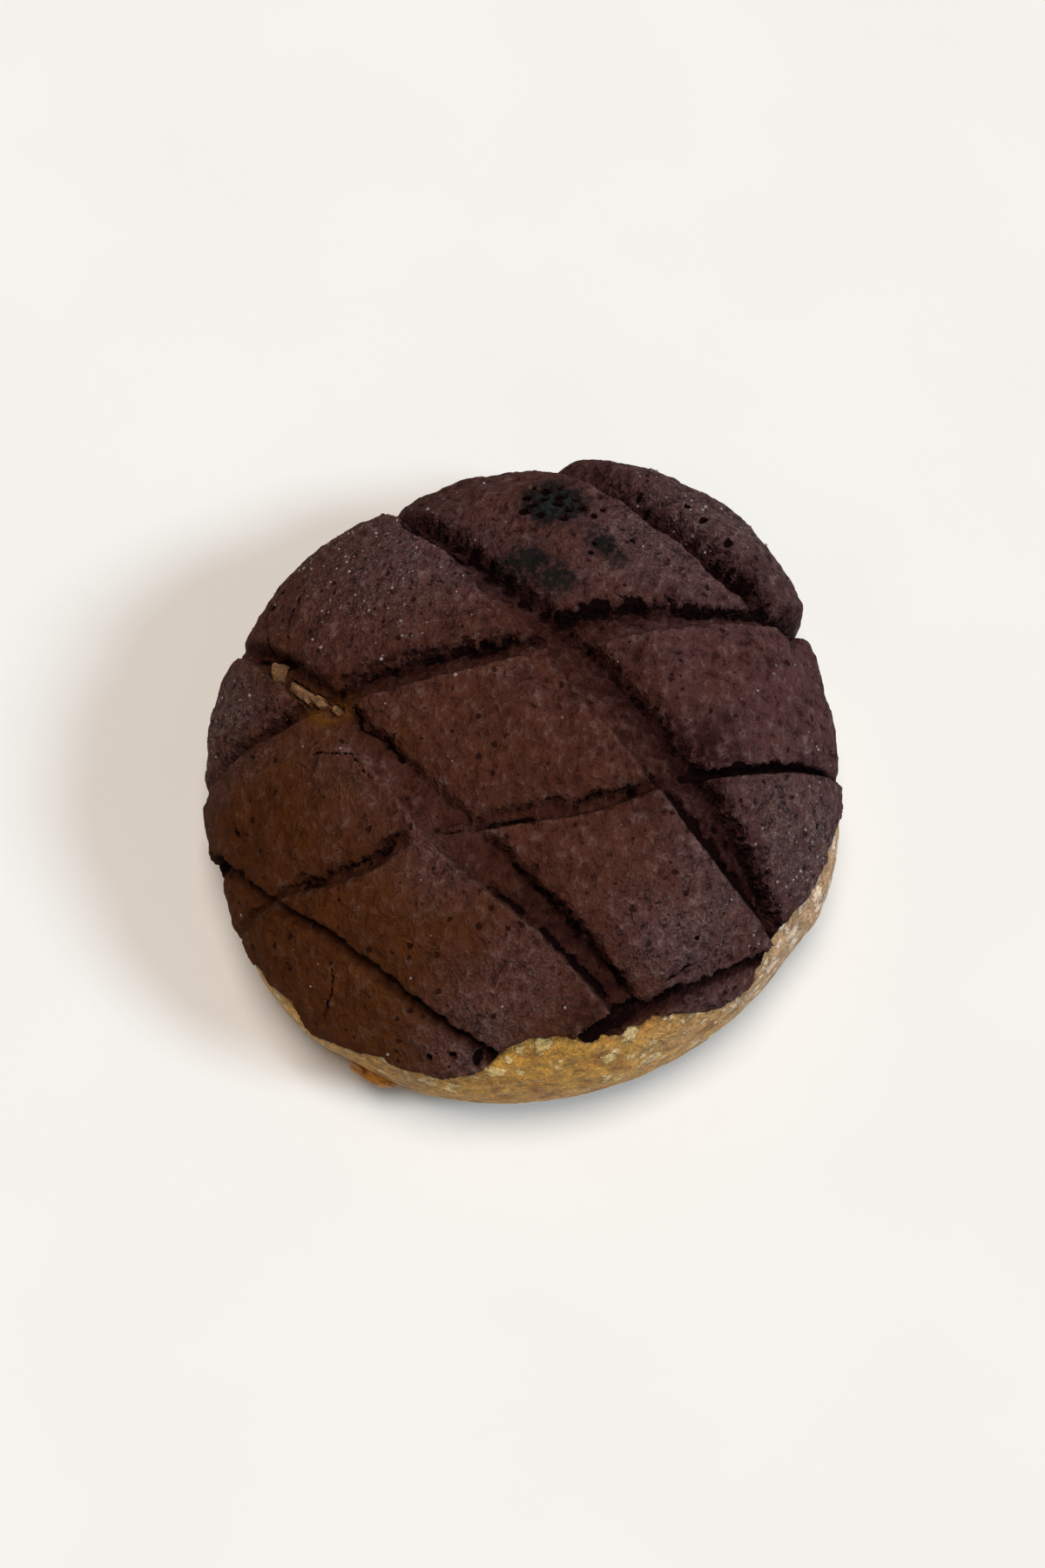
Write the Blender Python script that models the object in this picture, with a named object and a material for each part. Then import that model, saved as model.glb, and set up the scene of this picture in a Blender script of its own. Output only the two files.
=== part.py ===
"""A melon pan bun: a soft round bread under a scored dark cookie crust.

Run it with blender --background --python part.py, or from Blender's text editor.
Metres, +Z up. The finished bun stands on its flat base with the origin below its middle. The side
with the bare band of bread faces -Y, and +X is to the right of it.
"""

import math
from dataclasses import dataclass

import bmesh
import bpy
import numpy as np
from mathutils import Vector, noise

# The plain bun, before its crust is scored.
WAIST_RADIUS = 0.0524  # mean plan radius of the widest ring
WAIST_HEIGHT = 0.0150  # height of the widest ring above the table
DOME_RISE = 0.0300  # top of the dome above the widest ring
KEEL_DROP = 0.0240  # depth of the underside below the widest ring, had the base not set flat
MIDDLE = (0.0, 0.0, WAIST_HEIGHT)  # of the plain bun
FULLNESS = 2.35  # exponent of the side profile: 2 is an ellipse, more is fuller
OUTLINE_LOBES = ((2, 0.026, 66.0), (3, 0.007, 64.0), (4, 0.013, 62.0))  # lobes, share, direction
BASE_CENTRE = (-0.0004, 0.0018)  # where the middle of the scored bun lies, made the origin at the end

# The cookie crust.
CRUST_SEAT = 0.0044  # how deep the bread is pressed in under the crust
BAND_INSET = 0.0009  # how far the bare band of bread lies below the crust's face
# Where the bread bellies out below the crust: direction, half width and lift of each place
BULGES = ((-17.0, 13.0, 0.0017), (-136.0, 11.0, 0.0010))
BULGE_BELOW_HEM = 0.0040
BULGE_FOOT = (0.0020, 0.0090)
SEAT_BLEND = (-0.0010, 0.0030)  # heights above the hem between which the seat deepens
CRUST_GAP = 0.0003  # clearance between the bread and the crust's underside
CRUST_LEAST = 0.0009  # thinnest crust, under the deepest scores
PILLOW_HEIGHT = 0.0011  # how far the middle of a scored cell puffs up
PILLOW_REACH = 0.0060
HEM_BURIAL = 0.0050  # depth of the crust's hidden edge below the bun's skin
HEM_SKIRT = 0.0040  # height of that hidden edge below the hem
HEM_ROUNDING = 0.0016  # height over which the hem rolls in
HEM_FLUTTER = 0.0008
HEM_LOW = 0.0110  # height of the hem where it hangs lowest, round the back
HEM_HIGH = 0.0310  # and where it has drawn up, above the bare bread
HEM_HIGH_AT = -75.0  # direction of the highest hem, in degrees
HEM_SPREAD = 62.0  # half width of the raised stretch, in degrees
HEM_STEPS = (  # direction, half width and rise
    (-88.0, 8.0, 0.0026),
    (-101.0, 6.0, -0.0015),
    (-119.5, 6.0, 0.0015),
    (-138.0, 8.0, 0.0050),
    (-50.0, 9.0, -0.0028),
    (-20.0, 22.0, 0.0053),
)

# The hole torn through the crust, on the far left, where the bread shows.
TEAR_FROM = (-0.0405, 0.0140)
TEAR_TO = (-0.0300, 0.0046)
TEAR_HALF_WIDTH = 0.0020
TEAR_EDGE = 0.0012
TEAR_DEPTH = 0.0065
TEAR_SWELL = 0.0026  # how far the bread swells up into the hole

# The cell past the far right score, above the upper right one, stands proud of the dome.
PROUD_LIFT = 0.0026
PROUD_REACH = 0.0028

SCORE_FADE = 0.02  # share of a score's chord that its fading ends take up inside it

# Mesh fineness.
CRUST_SUBDIVISIONS = 4
FINEST_EDGE = 0.0027  # longest edge beside a score
HEM_EDGE = 0.0036  # and along the hem
SNAP_REACH = 0.0009  # points this close to an edge of a score's floor are moved onto it
COARSEST_EDGE = 0.0080  # and in the middle of a cell
EDGE_GROWTH = 0.90  # rise of the longest edge with the distance from a score
REFINING_ROUNDS = 6
BREAD_SEGMENTS = 48
BREAD_RINGS = 20

BEAD_AT = -117.0  # direction of the bead of burnt sugar, in degrees
BEAD_HEIGHT = 0.0120
BEAD_SIZE = (0.0043, 0.0018, 0.0028)  # half its width, thickness and height
BEAD_SINK = 0.0010  # depth of its middle below the bun's skin


@dataclass(frozen=True)
class Score:
    """One line scored across the crust, seen in plan.

    Its chord runs from start to end. near and far are the two edges of its floor, to the left of
    the chord, at even steps along it, and near_depth and far_depth are the floor's depths there.
    """

    start: tuple
    end: tuple
    near: tuple
    far: tuple
    near_depth: tuple
    far_depth: tuple
    near_slope: float = 0.0012
    far_slope: float = 0.0026
    near_lip: float = 0.0005
    far_sag: float = 0.0006
    overrun: float = 0.08  # share of the chord over which each end fades out

    def edges(self, plan):
        """Share along the chord, distance to its left, near edge and far edge at plan points."""
        run = np.subtract(self.end, self.start)
        length = math.hypot(*run)
        offset = plan - np.array(self.start)
        along = offset @ run / length**2
        left = (offset[:, 1] * run[0] - offset[:, 0] * run[1]) / length
        return along, left, through(self.near, along), through(self.far, along)


# Lines scored from the far left to the near right, then those from the left to the right.
SCORES = {
    "middle_right": Score(
        (-0.0210, 0.0416), (0.0402, -0.0312),
        near=(0.0, -0.0004, -0.0009, -0.0009, -0.0012, 0.0),
        far=(0.0018, 0.0030, 0.0050, 0.0056, 0.0046, 0.0010),
        near_depth=(0.0012, 0.0006, 0.0003, 0.0004, 0.0010, 0.0014),
        far_depth=(0.0026, 0.0030, 0.0026, 0.0028, 0.0032, 0.0026),
        far_slope=0.0030,
    ),
    "middle_left": Score(
        (-0.0446, 0.0182), (0.0140, -0.0410),
        near=(-0.0008, -0.0016, -0.0018, -0.0036, -0.0016, -0.0010),
        far=(0.0010, 0.0022, 0.0021, 0.0022, 0.0024, 0.0022),
        near_depth=(0.0018, 0.0008, 0.0005, 0.0010, 0.0020, 0.0022),
        far_depth=(0.0026, 0.0024, 0.0015, 0.0013, 0.0026, 0.0024),
        near_slope=0.0009,
    ),
    "near_left": Score(
        (-0.0500, -0.0138), (-0.0036, -0.0492),
        near=(-0.0003, -0.0021, -0.0015, -0.0015, -0.0018, -0.0003),
        far=(0.0003, -0.0015, -0.0009, -0.0009, -0.0012, 0.0003),
        near_depth=(0.0022, 0.0018, 0.0018, 0.0020, 0.0024, 0.0026),
        far_depth=(0.0022, 0.0018, 0.0018, 0.0020, 0.0024, 0.0026),
        near_slope=0.0024, far_slope=0.0010, near_lip=-0.0004, far_sag=-0.0005,
    ),
    "far_right": Score(
        (0.0026, 0.0528), (0.0428, 0.0212),
        near=(0.0, -0.0006, -0.0008, -0.0014, -0.0019, -0.0016),
        far=(0.0002, 0.0010, 0.0014, 0.0010, 0.0006, 0.0004),
        near_depth=(0.0006, 0.0018, 0.0024, 0.0026, 0.0028, 0.0028),
        far_depth=(0.0006, 0.0020, 0.0028, 0.0030, 0.0032, 0.0030),
        far_slope=0.0020, overrun=0.05,
    ),
    "upper_left": Score(
        (-0.0500, -0.0030), (0.0030, 0.0150),
        near=(0.0002, 0.0008, 0.0006, -0.0002, -0.0014, -0.0020),
        far=(0.0006, 0.0020, 0.0034, 0.0030, 0.0014, 0.0002),
        near_depth=(0.0008, 0.0010, 0.0012, 0.0012, 0.0010, 0.0010),
        far_depth=(0.0008, 0.0014, 0.0020, 0.0022, 0.0024, 0.0020),
        far_slope=0.0028,
    ),
    "upper_right": Score(
        (0.0050, 0.0172), (0.0472, 0.0220),
        near=(-0.0040, -0.0029, -0.0017, -0.0008, -0.0001, 0.0004),
        far=(0.0006, 0.0019, 0.0020, 0.0014, 0.0020, 0.0042),
        near_depth=(0.0010, 0.0010, 0.0012, 0.0012, 0.0014, 0.0010),
        far_depth=(0.0022, 0.0026, 0.0024, 0.0020, 0.0022, 0.0028),
        far_slope=0.0016, overrun=0.06,
    ),
    "lower_left": Score(
        (-0.0440, -0.0266), (-0.0190, -0.0170),
        near=(0.0, -0.0004, -0.0026, -0.0018),
        far=(0.0004, 0.0002, -0.0012, -0.0002),
        near_depth=(0.0008, 0.0012, 0.0014, 0.0012),
        far_depth=(0.0010, 0.0012, 0.0016, 0.0012),
        near_slope=0.0016, far_slope=0.0016,
    ),
    "lower_middle": Score(
        (-0.0120, -0.0170), (0.0215, -0.0098),
        near=(0.0002, -0.0004, -0.0009, 0.0009),
        far=(0.0012, 0.0014, 0.0010, 0.0018),
        near_depth=(0.0014, 0.0016, 0.0016, 0.0014),
        far_depth=(0.0008, 0.0010, 0.0012, 0.0016),
        near_slope=0.0010, far_slope=0.0014,
    ),
    "lower_right": Score(
        (0.0250, -0.0078), (0.0520, -0.0012),
        near=(0.0, 0.0, 0.0, 0.0),
        far=(0.0005, 0.0005, 0.0005, 0.0004),
        near_depth=(0.0022, 0.0022, 0.0020, 0.0016),
        far_depth=(0.0022, 0.0022, 0.0020, 0.0016),
        near_slope=0.0009, far_slope=0.0009,
    ),
    "hem_side": Score(
        (0.0060, -0.0478), (0.0410, -0.0302),
        near=(-0.0002, -0.0006, -0.0008, -0.0002),
        far=(0.0010, 0.0006, 0.0004, 0.0006),
        near_depth=(0.0030, 0.0024, 0.0020, 0.0020),
        far_depth=(0.0034, 0.0028, 0.0024, 0.0022),
        near_slope=0.0016, far_slope=0.0010, near_lip=-0.0006, far_sag=-0.0006,
    ),
}

MATERIALS = {
    "bread": ((0.62, 0.42, 0.17, 1), 0.60, 0.0),
    "cookie_crust": ((0.062, 0.030, 0.021, 1), 0.72, 0.0),
    "sugar_bead": ((0.36, 0.12, 0.018, 1), 0.30, 0.0),
}


def smooth(low, high, values):
    """0 below low, 1 above high, and an even S curve in between."""
    share = np.clip((values - low) / (high - low), 0, 1)
    return share * share * (3 - 2 * share)


def through(values, along):
    """A smooth curve through values at even steps from 0 to 1, read at along."""
    steps = len(values) - 1
    knots = np.array((2 * values[0] - values[1], *values, 2 * values[-1] - values[-2]))
    place = np.clip(along, 0, 1) * steps
    first = np.minimum(place.astype(int), steps - 1)
    part = place - first
    a, b, c, d = (knots[first + step] for step in range(4))
    return b + part / 2 * (c - a + part * (2 * a - 5 * b + 4 * c - d + part * (3 * (b - c) + d - a)))


def wobble(points, scale, size, seed):
    """Soft unevenness at points: about -size to size, over lumps of scale."""
    shift = Vector((seed * 7.3, seed * 3.1, seed * 5.7))
    return np.array([size * noise.noise(Vector(point) / scale + shift) for point in points])


def outline_radius(azimuth):
    """Plan radius of the widest ring in each direction."""
    swell = (share * np.cos(lobes * (azimuth - math.radians(at))) for lobes, share, at in OUTLINE_LOBES)
    return WAIST_RADIUS * (1 + sum(swell))


def bun_form(directions):
    """Points and outward normals of the plain bun, in directions from its middle."""
    azimuth = np.arctan2(directions[:, 1], directions[:, 0])
    radius = outline_radius(azimuth)
    rise = np.where(directions[:, 2] > 0, DOME_RISE, KEEL_DROP)
    across = np.hypot(directions[:, 0], directions[:, 1]) / radius
    up = np.abs(directions[:, 2]) / rise
    reach = (across**FULLNESS + up**FULLNESS) ** (-1 / FULLNESS)
    outward = (across * reach) ** (FULLNESS - 1) / radius
    upward = np.sign(directions[:, 2]) * (up * reach) ** (FULLNESS - 1) / rise
    normals = np.column_stack((np.cos(azimuth) * outward, np.sin(azimuth) * outward, upward))
    normals /= np.linalg.norm(normals, axis=1)[:, None]
    return directions * reach[:, None] + MIDDLE, normals


def above_hem(points):
    """Height of points above the crust's hem in the same direction, with its uneven run."""
    azimuth = np.arctan2(points[:, 1], points[:, 0])
    turn = (np.degrees(azimuth) - HEM_HIGH_AT + 180) % 360 - 180
    hem = HEM_LOW + (HEM_HIGH - HEM_LOW) * np.exp(-((turn / HEM_SPREAD) ** 2))
    for at, half_width, rise in HEM_STEPS:
        hem += rise * np.exp(-(((np.degrees(azimuth) - at) / half_width) ** 4))
    ring = np.column_stack((np.cos(azimuth), np.sin(azimuth), 0 * azimuth))
    return points[:, 2] - hem - wobble(ring, 0.22, HEM_FLUTTER, 2)


def tear(plan):
    """1 in the torn hole and 0 on sound crust."""
    run = np.subtract(TEAR_TO, TEAR_FROM)
    offset = plan - np.array(TEAR_FROM)
    along = np.clip(offset @ run / (run @ run), 0, 1)
    distance = np.linalg.norm(offset - along[:, None] * run, axis=1)
    return 1 - smooth(TEAR_HALF_WIDTH - TEAR_EDGE, TEAR_HALF_WIDTH + TEAR_EDGE, distance)


def score_distance(plan):
    """Distance of plan points from the nearest score's floor."""
    nearest = np.full(len(plan), WAIST_RADIUS)
    for score in SCORES.values():
        along, left, near, far = score.edges(plan)
        beside = np.maximum(np.maximum(near - left, left - far), 0)
        length = math.dist(score.start, score.end)
        past = np.maximum(np.abs(along - 0.5) - 0.5, 0) * length
        nearest = np.minimum(nearest, np.hypot(beside, past))
    return nearest


def score_cut(score, plan):
    """Depth that a score takes off the crust, and the swell of its two banks."""
    along, left, near, far = score.edges(plan)
    from_start = smooth(-score.overrun, SCORE_FADE, along)
    reach = from_start * (1 - smooth(1 - SCORE_FADE, 1 + score.overrun, along))
    share = np.clip((left - near) / (far - near), 0, 1)
    floor = (1 - share) * through(score.near_depth, along) + share * through(score.far_depth, along)
    near_bank = smooth(near - score.near_slope, near, left)
    open_floor = near_bank * (1 - smooth(far, far + score.far_slope, left))
    lip = score.near_lip * np.exp(-np.abs(near - left) / PILLOW_REACH) * (left < near)
    sag = score.far_sag * np.exp(-np.abs(left - far) / PILLOW_REACH) * (left > far)
    return floor * open_floor * reach, (lip - sag) * reach


def bread_inset(points):
    """Depth of the bread's skin below the plain bun: pressed in wherever the crust sits."""
    height = above_hem(points)
    inset = BAND_INSET + (CRUST_SEAT - BAND_INSET) * smooth(*SEAT_BLEND, height)
    inset -= TEAR_SWELL * tear(points[:, :2]) * (points[:, 2] > WAIST_HEIGHT)
    bearing = np.degrees(np.arctan2(points[:, 1], points[:, 0]))
    lift = sum(rise * np.exp(-(((bearing - at) / half_width) ** 4)) for at, half_width, rise in BULGES)
    return inset - lift * smooth(0, BULGE_BELOW_HEM, -height) * smooth(*BULGE_FOOT, points[:, 2])


def crust_relief(points):
    """Height of the crust's face over the plain bun at points of it."""
    plan = points[:, :2]
    cuts, banks = zip(*(score_cut(score, plan) for score in SCORES.values()))
    relief = PILLOW_HEIGHT * (1 - np.exp(-score_distance(plan) / PILLOW_REACH)) + sum(banks)
    _, left, _, far = SCORES["far_right"].edges(plan)
    _, above, _, below = SCORES["upper_right"].edges(plan)
    relief += PROUD_LIFT * smooth(0, PROUD_REACH, left - far) * smooth(0, PROUD_REACH, above - below)
    relief += wobble(points, 0.016, 0.0007, 1) + wobble(points, 0.006, 0.0003, 4)
    relief -= np.maximum.reduce(cuts)
    relief = np.maximum(relief, CRUST_LEAST + CRUST_GAP - bread_inset(points))
    relief -= TEAR_DEPTH * tear(plan)
    sound = smooth(-HEM_ROUNDING, 0, above_hem(points))
    return relief * sound - HEM_BURIAL * (1 - sound)


def coordinates_of(mesh):
    """Vertex coordinates of a bmesh as an array."""
    return np.array([vertex.co for vertex in mesh.verts])


def place(mesh, points):
    """Moves a bmesh's vertices to points."""
    for vertex, point in zip(mesh.verts, points):
        vertex.co = point


def seat_on_bun(mesh):
    """Moves a bmesh's vertices onto the plain bun. Returns their points and normals."""
    points, normals = bun_form(coordinates_of(mesh) - MIDDLE)
    place(mesh, points)
    return points, normals


def refine(mesh):
    """Halves the longest side of each face that is too coarse for its distance from a score."""
    for _ in range(REFINING_ROUNDS):
        points, _ = seat_on_bun(mesh)
        limit = FINEST_EDGE + EDGE_GROWTH * score_distance(points[:, :2])
        limit = np.minimum(limit, HEM_EDGE + EDGE_GROWTH * np.abs(above_hem(points)))
        limit = np.minimum(limit, COARSEST_EDGE)
        mesh.verts.index_update()
        mesh.edges.index_update()
        coarse = np.zeros(len(mesh.edges), bool)
        for face in mesh.faces:
            longest = max(face.edges, key=lambda edge: edge.calc_length())
            if longest.calc_length() > min(limit[vertex.index] for vertex in face.verts):
                coarse[longest.index] = True
        edges = [edge for edge in mesh.edges if coarse[edge.index]]
        bmesh.ops.subdivide_edges(mesh, edges=edges, cuts=1)
        bmesh.ops.triangulate(mesh, faces=[face for face in mesh.faces if len(face.verts) > 3])


def snap_to_scores(mesh):
    """Moves the points beside a score's ledges onto them, so that the ledges come out crisp."""
    points = coordinates_of(mesh)
    free = np.ones(len(points), bool)
    for score in SCORES.values():
        run = np.subtract(score.end, score.start)
        leftward = np.array((-run[1], run[0])) / math.hypot(*run)
        along, left, near, far = score.edges(points[:, :2])
        for line in (near, far):
            close = free & (np.abs(line - left) < SNAP_REACH) & (along > 0) & (along < 1)
            points[close, :2] += np.outer((line - left)[close], leftward)
            free &= ~close
    place(mesh, points)


def material(name):
    """The Principled material of a sub-part."""
    colour, roughness, metallic = MATERIALS[name]
    made = bpy.data.materials.new(name)
    made.use_nodes = True
    shader = made.node_tree.nodes["Principled BSDF"]
    shader.inputs["Base Color"].default_value = colour
    shader.inputs["Roughness"].default_value = roughness
    shader.inputs["Metallic"].default_value = metallic
    return made


def add_object(name, mesh, collection, cutter=False):
    """Turns a bmesh into an object in a collection."""
    bmesh.ops.recalc_face_normals(mesh, faces=mesh.faces)
    bmesh.ops.translate(mesh, verts=mesh.verts, vec=(-BASE_CENTRE[0], -BASE_CENTRE[1], 0))
    data = bpy.data.meshes.new(name)
    mesh.to_mesh(data)
    mesh.free()
    made = bpy.data.objects.new(name, data)
    collection.objects.link(made)
    if cutter:
        made.hide_render = True
        made.display_type = "WIRE"
    else:
        data.materials.append(material(name))
        data.shade_smooth()
    return made


def bread_mesh(growth=0.0):
    """The bread: the plain bun, pressed in under the crust, on a flat base. growth swells it."""
    mesh = bmesh.new()
    bmesh.ops.create_uvsphere(mesh, u_segments=BREAD_SEGMENTS, v_segments=BREAD_RINGS, radius=WAIST_HEIGHT)
    bmesh.ops.translate(mesh, verts=mesh.verts, vec=MIDDLE)
    points, normals = seat_on_bun(mesh)
    points = points + normals * (growth - bread_inset(points))[:, None]
    points[:, 2] = np.maximum(points[:, 2], -growth)
    place(mesh, points)
    bmesh.ops.triangulate(mesh, faces=mesh.faces, quad_method="FIXED")
    return mesh


def crust_mesh():
    """The crust as a thick cap: its face and hem, closed by a cone to a point inside the bread."""
    mesh = bmesh.new()
    bmesh.ops.create_icosphere(mesh, subdivisions=CRUST_SUBDIVISIONS, radius=WAIST_HEIGHT)
    bmesh.ops.translate(mesh, verts=mesh.verts, vec=MIDDLE)
    points, _ = seat_on_bun(mesh)
    clearance = above_hem(points)
    mesh.verts.index_update()
    buried = [vertex for vertex in mesh.verts if clearance[vertex.index] < -HEM_SKIRT - COARSEST_EDGE]
    bmesh.ops.delete(mesh, geom=buried, context="VERTS")
    refine(mesh)
    snap_to_scores(mesh)
    points, normals = seat_on_bun(mesh)
    place(mesh, points + normals * crust_relief(points)[:, None])
    rim = [edge for edge in mesh.edges if edge.is_boundary]
    cone = bmesh.ops.extrude_edge_only(mesh, edges=rim)["geom"]
    inner = [item for item in cone if isinstance(item, bmesh.types.BMVert)]
    bmesh.ops.pointmerge(mesh, verts=inner, merge_co=MIDDLE)
    return mesh


def bead_mesh():
    """The bead of burnt sugar, flattened against the side of the bread."""
    mesh = bmesh.new()
    bmesh.ops.create_icosphere(mesh, subdivisions=3, radius=1)
    turn = math.radians(BEAD_AT)
    outward = np.array((math.cos(turn), math.sin(turn), 0))
    sideways = np.array((-math.sin(turn), math.cos(turn), 0))
    ball = coordinates_of(mesh)
    seat, normal = bun_form((outward * WAIST_RADIUS + (0, 0, BEAD_HEIGHT - WAIST_HEIGHT))[None, :])
    points = np.outer(ball[:, 0] * BEAD_SIZE[0], sideways) + np.outer(ball[:, 1] * BEAD_SIZE[1], outward)
    points[:, 2] += ball[:, 2] * BEAD_SIZE[2]
    place(mesh, points + seat - BEAD_SINK * normal)
    return mesh


def cut_away(target, cutter):
    """Takes cutter off target with a Boolean."""
    boolean = target.modifiers.new("seat", "BOOLEAN")
    boolean.operation = "DIFFERENCE"
    boolean.solver = "EXACT"
    boolean.object = cutter


def build():
    """Clears the scene and makes the bun."""
    for old in list(bpy.data.objects):
        bpy.data.objects.remove(old)
    bun = bpy.data.collections.new("melon_pan")
    cutters = bpy.data.collections.new("cutters")
    for collection in (bun, cutters):
        bpy.context.scene.collection.children.link(collection)
    add_object("bread", bread_mesh(), bun)
    seat = add_object("bread_seat", bread_mesh(CRUST_GAP), cutters, cutter=True)
    crust = add_object("cookie_crust", crust_mesh(), bun)
    cut_away(crust, seat)
    bead = add_object("sugar_bead", bead_mesh(), bun)
    cut_away(bead, seat)


build()
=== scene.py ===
"""The looks of a melon pan bun: its scored cookie crust, soft bread, burnt sugar and studio.

Metres, +Z up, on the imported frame. Every form is laid on the plain bun that the solids start from,
in directions from its middle, and is moved at the end so that the origin is below the bun's middle.
"""

import logging
import math
from collections.abc import Callable, Iterable
from dataclasses import dataclass, field
from enum import Enum
from typing import Any

import bmesh
import bpy
import numpy as np
from mathutils import Euler, Matrix, Vector, noise


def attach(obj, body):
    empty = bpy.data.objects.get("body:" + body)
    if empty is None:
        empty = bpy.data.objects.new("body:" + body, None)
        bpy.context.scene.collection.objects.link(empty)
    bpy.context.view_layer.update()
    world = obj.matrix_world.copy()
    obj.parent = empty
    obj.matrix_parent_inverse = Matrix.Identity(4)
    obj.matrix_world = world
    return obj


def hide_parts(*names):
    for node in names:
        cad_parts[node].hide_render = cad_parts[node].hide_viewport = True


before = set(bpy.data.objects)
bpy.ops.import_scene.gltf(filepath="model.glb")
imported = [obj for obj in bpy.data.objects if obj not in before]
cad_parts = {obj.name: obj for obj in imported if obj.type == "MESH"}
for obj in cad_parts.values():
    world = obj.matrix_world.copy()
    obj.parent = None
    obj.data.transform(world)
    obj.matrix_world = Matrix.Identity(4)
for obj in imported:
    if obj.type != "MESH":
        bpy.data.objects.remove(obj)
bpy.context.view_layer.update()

LOG = logging.getLogger("melon_pan")

Array = np.ndarray
Mesh = bmesh.types.BMesh
Piece = bpy.types.Object
Socket = bpy.types.NodeSocket
Colour = tuple[float, float, float]
Triple = tuple[float, float, float]
Plan = tuple[float, float]
Span = tuple[float, float]
Profile = tuple[float, ...]

MM = 0.001
FINE_PLACES = 9  # decimal places that a length in metres is rounded to
TIE_BREAK = 1e-13  # metres, so that no two sides of a triangle are equally long
SEED_STEP = (7.3, 3.1, 5.7)
MIX_INPUTS = (0, 6, 7)  # a colour mix node's share, lower colour and upper colour
MIX_OUTPUT = 2
BALL_SPLITS = 5


class Slot(Enum):
    """The finishes of the bun."""

    BREAD = "bread"
    CRUST = "cookie_crust"
    SUGAR = "sugar_bead"


class Blend(Enum):
    """The ways in which one colour is laid over another."""

    MIX = "MIX"
    MULTIPLY = "MULTIPLY"


def mm(*values: float) -> Profile:
    """Millimetres as metres."""
    return tuple(round(value * MM, FINE_PLACES) for value in values)


def route(*values: float) -> tuple[Plan, ...]:
    """Plan points from millimetres, two for each point."""
    return tuple(zip(mm(*values[::2]), mm(*values[1::2])))


def smooth(low: Any, high: Any, values: Any) -> Array:
    """An even S curve over values: 0 below low, and 1 above high."""
    share = np.clip((values - low) / (high - low), 0, 1)
    return share * share * (3 - 2 * share)


def through(values: Profile, along: Array) -> Array:
    """A smooth curve through values.

    Args:
        values: Heights at even steps from 0 to 1.
        along: Where the curve is read.

    Returns:
        The curve's heights there.
    """
    steps = len(values) - 1
    knots = np.array((2 * values[0] - values[1], *values, 2 * values[-1] - values[-2]))
    place = np.clip(along, 0, 1) * steps
    first = np.minimum(place.astype(int), steps - 1)
    part = place - first
    a, b, c, d = (knots[first + step] for step in range(4))
    return b + part / 2 * (c - a + part * (2 * a - 5 * b + 4 * c - d + part * (3 * (b - c) + d - a)))


def shift_of(seed: int) -> Vector:
    """Where in the noise a seed starts."""
    return Vector([seed * step for step in SEED_STEP])


@dataclass(frozen=True)
class Lumps:
    """An unevenness: the size of its largest lumps, about how far they go, and which one it is.

    octaves is how many sizes of lump lie on each other, or 0 for plain smooth ones.
    """

    size: float
    height: float
    seed: int
    octaves: int = 3
    fading: float = 0.9
    finer: float = 2.1

    def at(self, points: Array) -> Array:
        """Its height at each point.

        Args:
            points: Where it is read.

        Returns:
            The height at each point.
        """
        shift = shift_of(self.seed)
        places = (Vector(point) / self.size + shift for point in points)
        if not self.octaves:
            return np.array([self.height * noise.noise(spot) for spot in places])
        return np.array(
            [self.height * noise.fractal(spot, self.fading, self.finer, self.octaves) for spot in places]
        )


def heaped(lumps: Iterable[Lumps], points: Array, start: float = 0.0) -> Array:
    """The sum of several sorts of lumps at each point, on top of a start."""
    return sum((sort.at(points) for sort in lumps), start)


def pores(points: Array, size: float, seed: int) -> Array:
    """Distance to the nearest of many pores about size apart, as a share of size."""
    shift = shift_of(seed)
    return np.array([noise.voronoi(Vector(point) / size + shift)[0][0] for point in points])


def on_table(plan: Array) -> Array:
    """Plan points as points in space, at height 0."""
    return np.column_stack((plan, np.zeros(len(plan))))


def run_distance(plan: Array, path: Iterable[Plan]) -> Array:
    """Distance of plan points from a path of straight runs.

    Args:
        plan: The points.
        path: Corners of the path.

    Returns:
        The distance of each point.
    """
    corners = [np.array(corner) for corner in path]
    nearest = np.full(len(plan), np.inf)
    for start, end in zip(corners, corners[1:]):
        run = end - start
        along = np.clip((plan - start) @ run / (run @ run), 0, 1)
        nearest = np.minimum(nearest, np.linalg.norm(plan - start - along[:, None] * run, axis=1))
    return nearest


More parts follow.
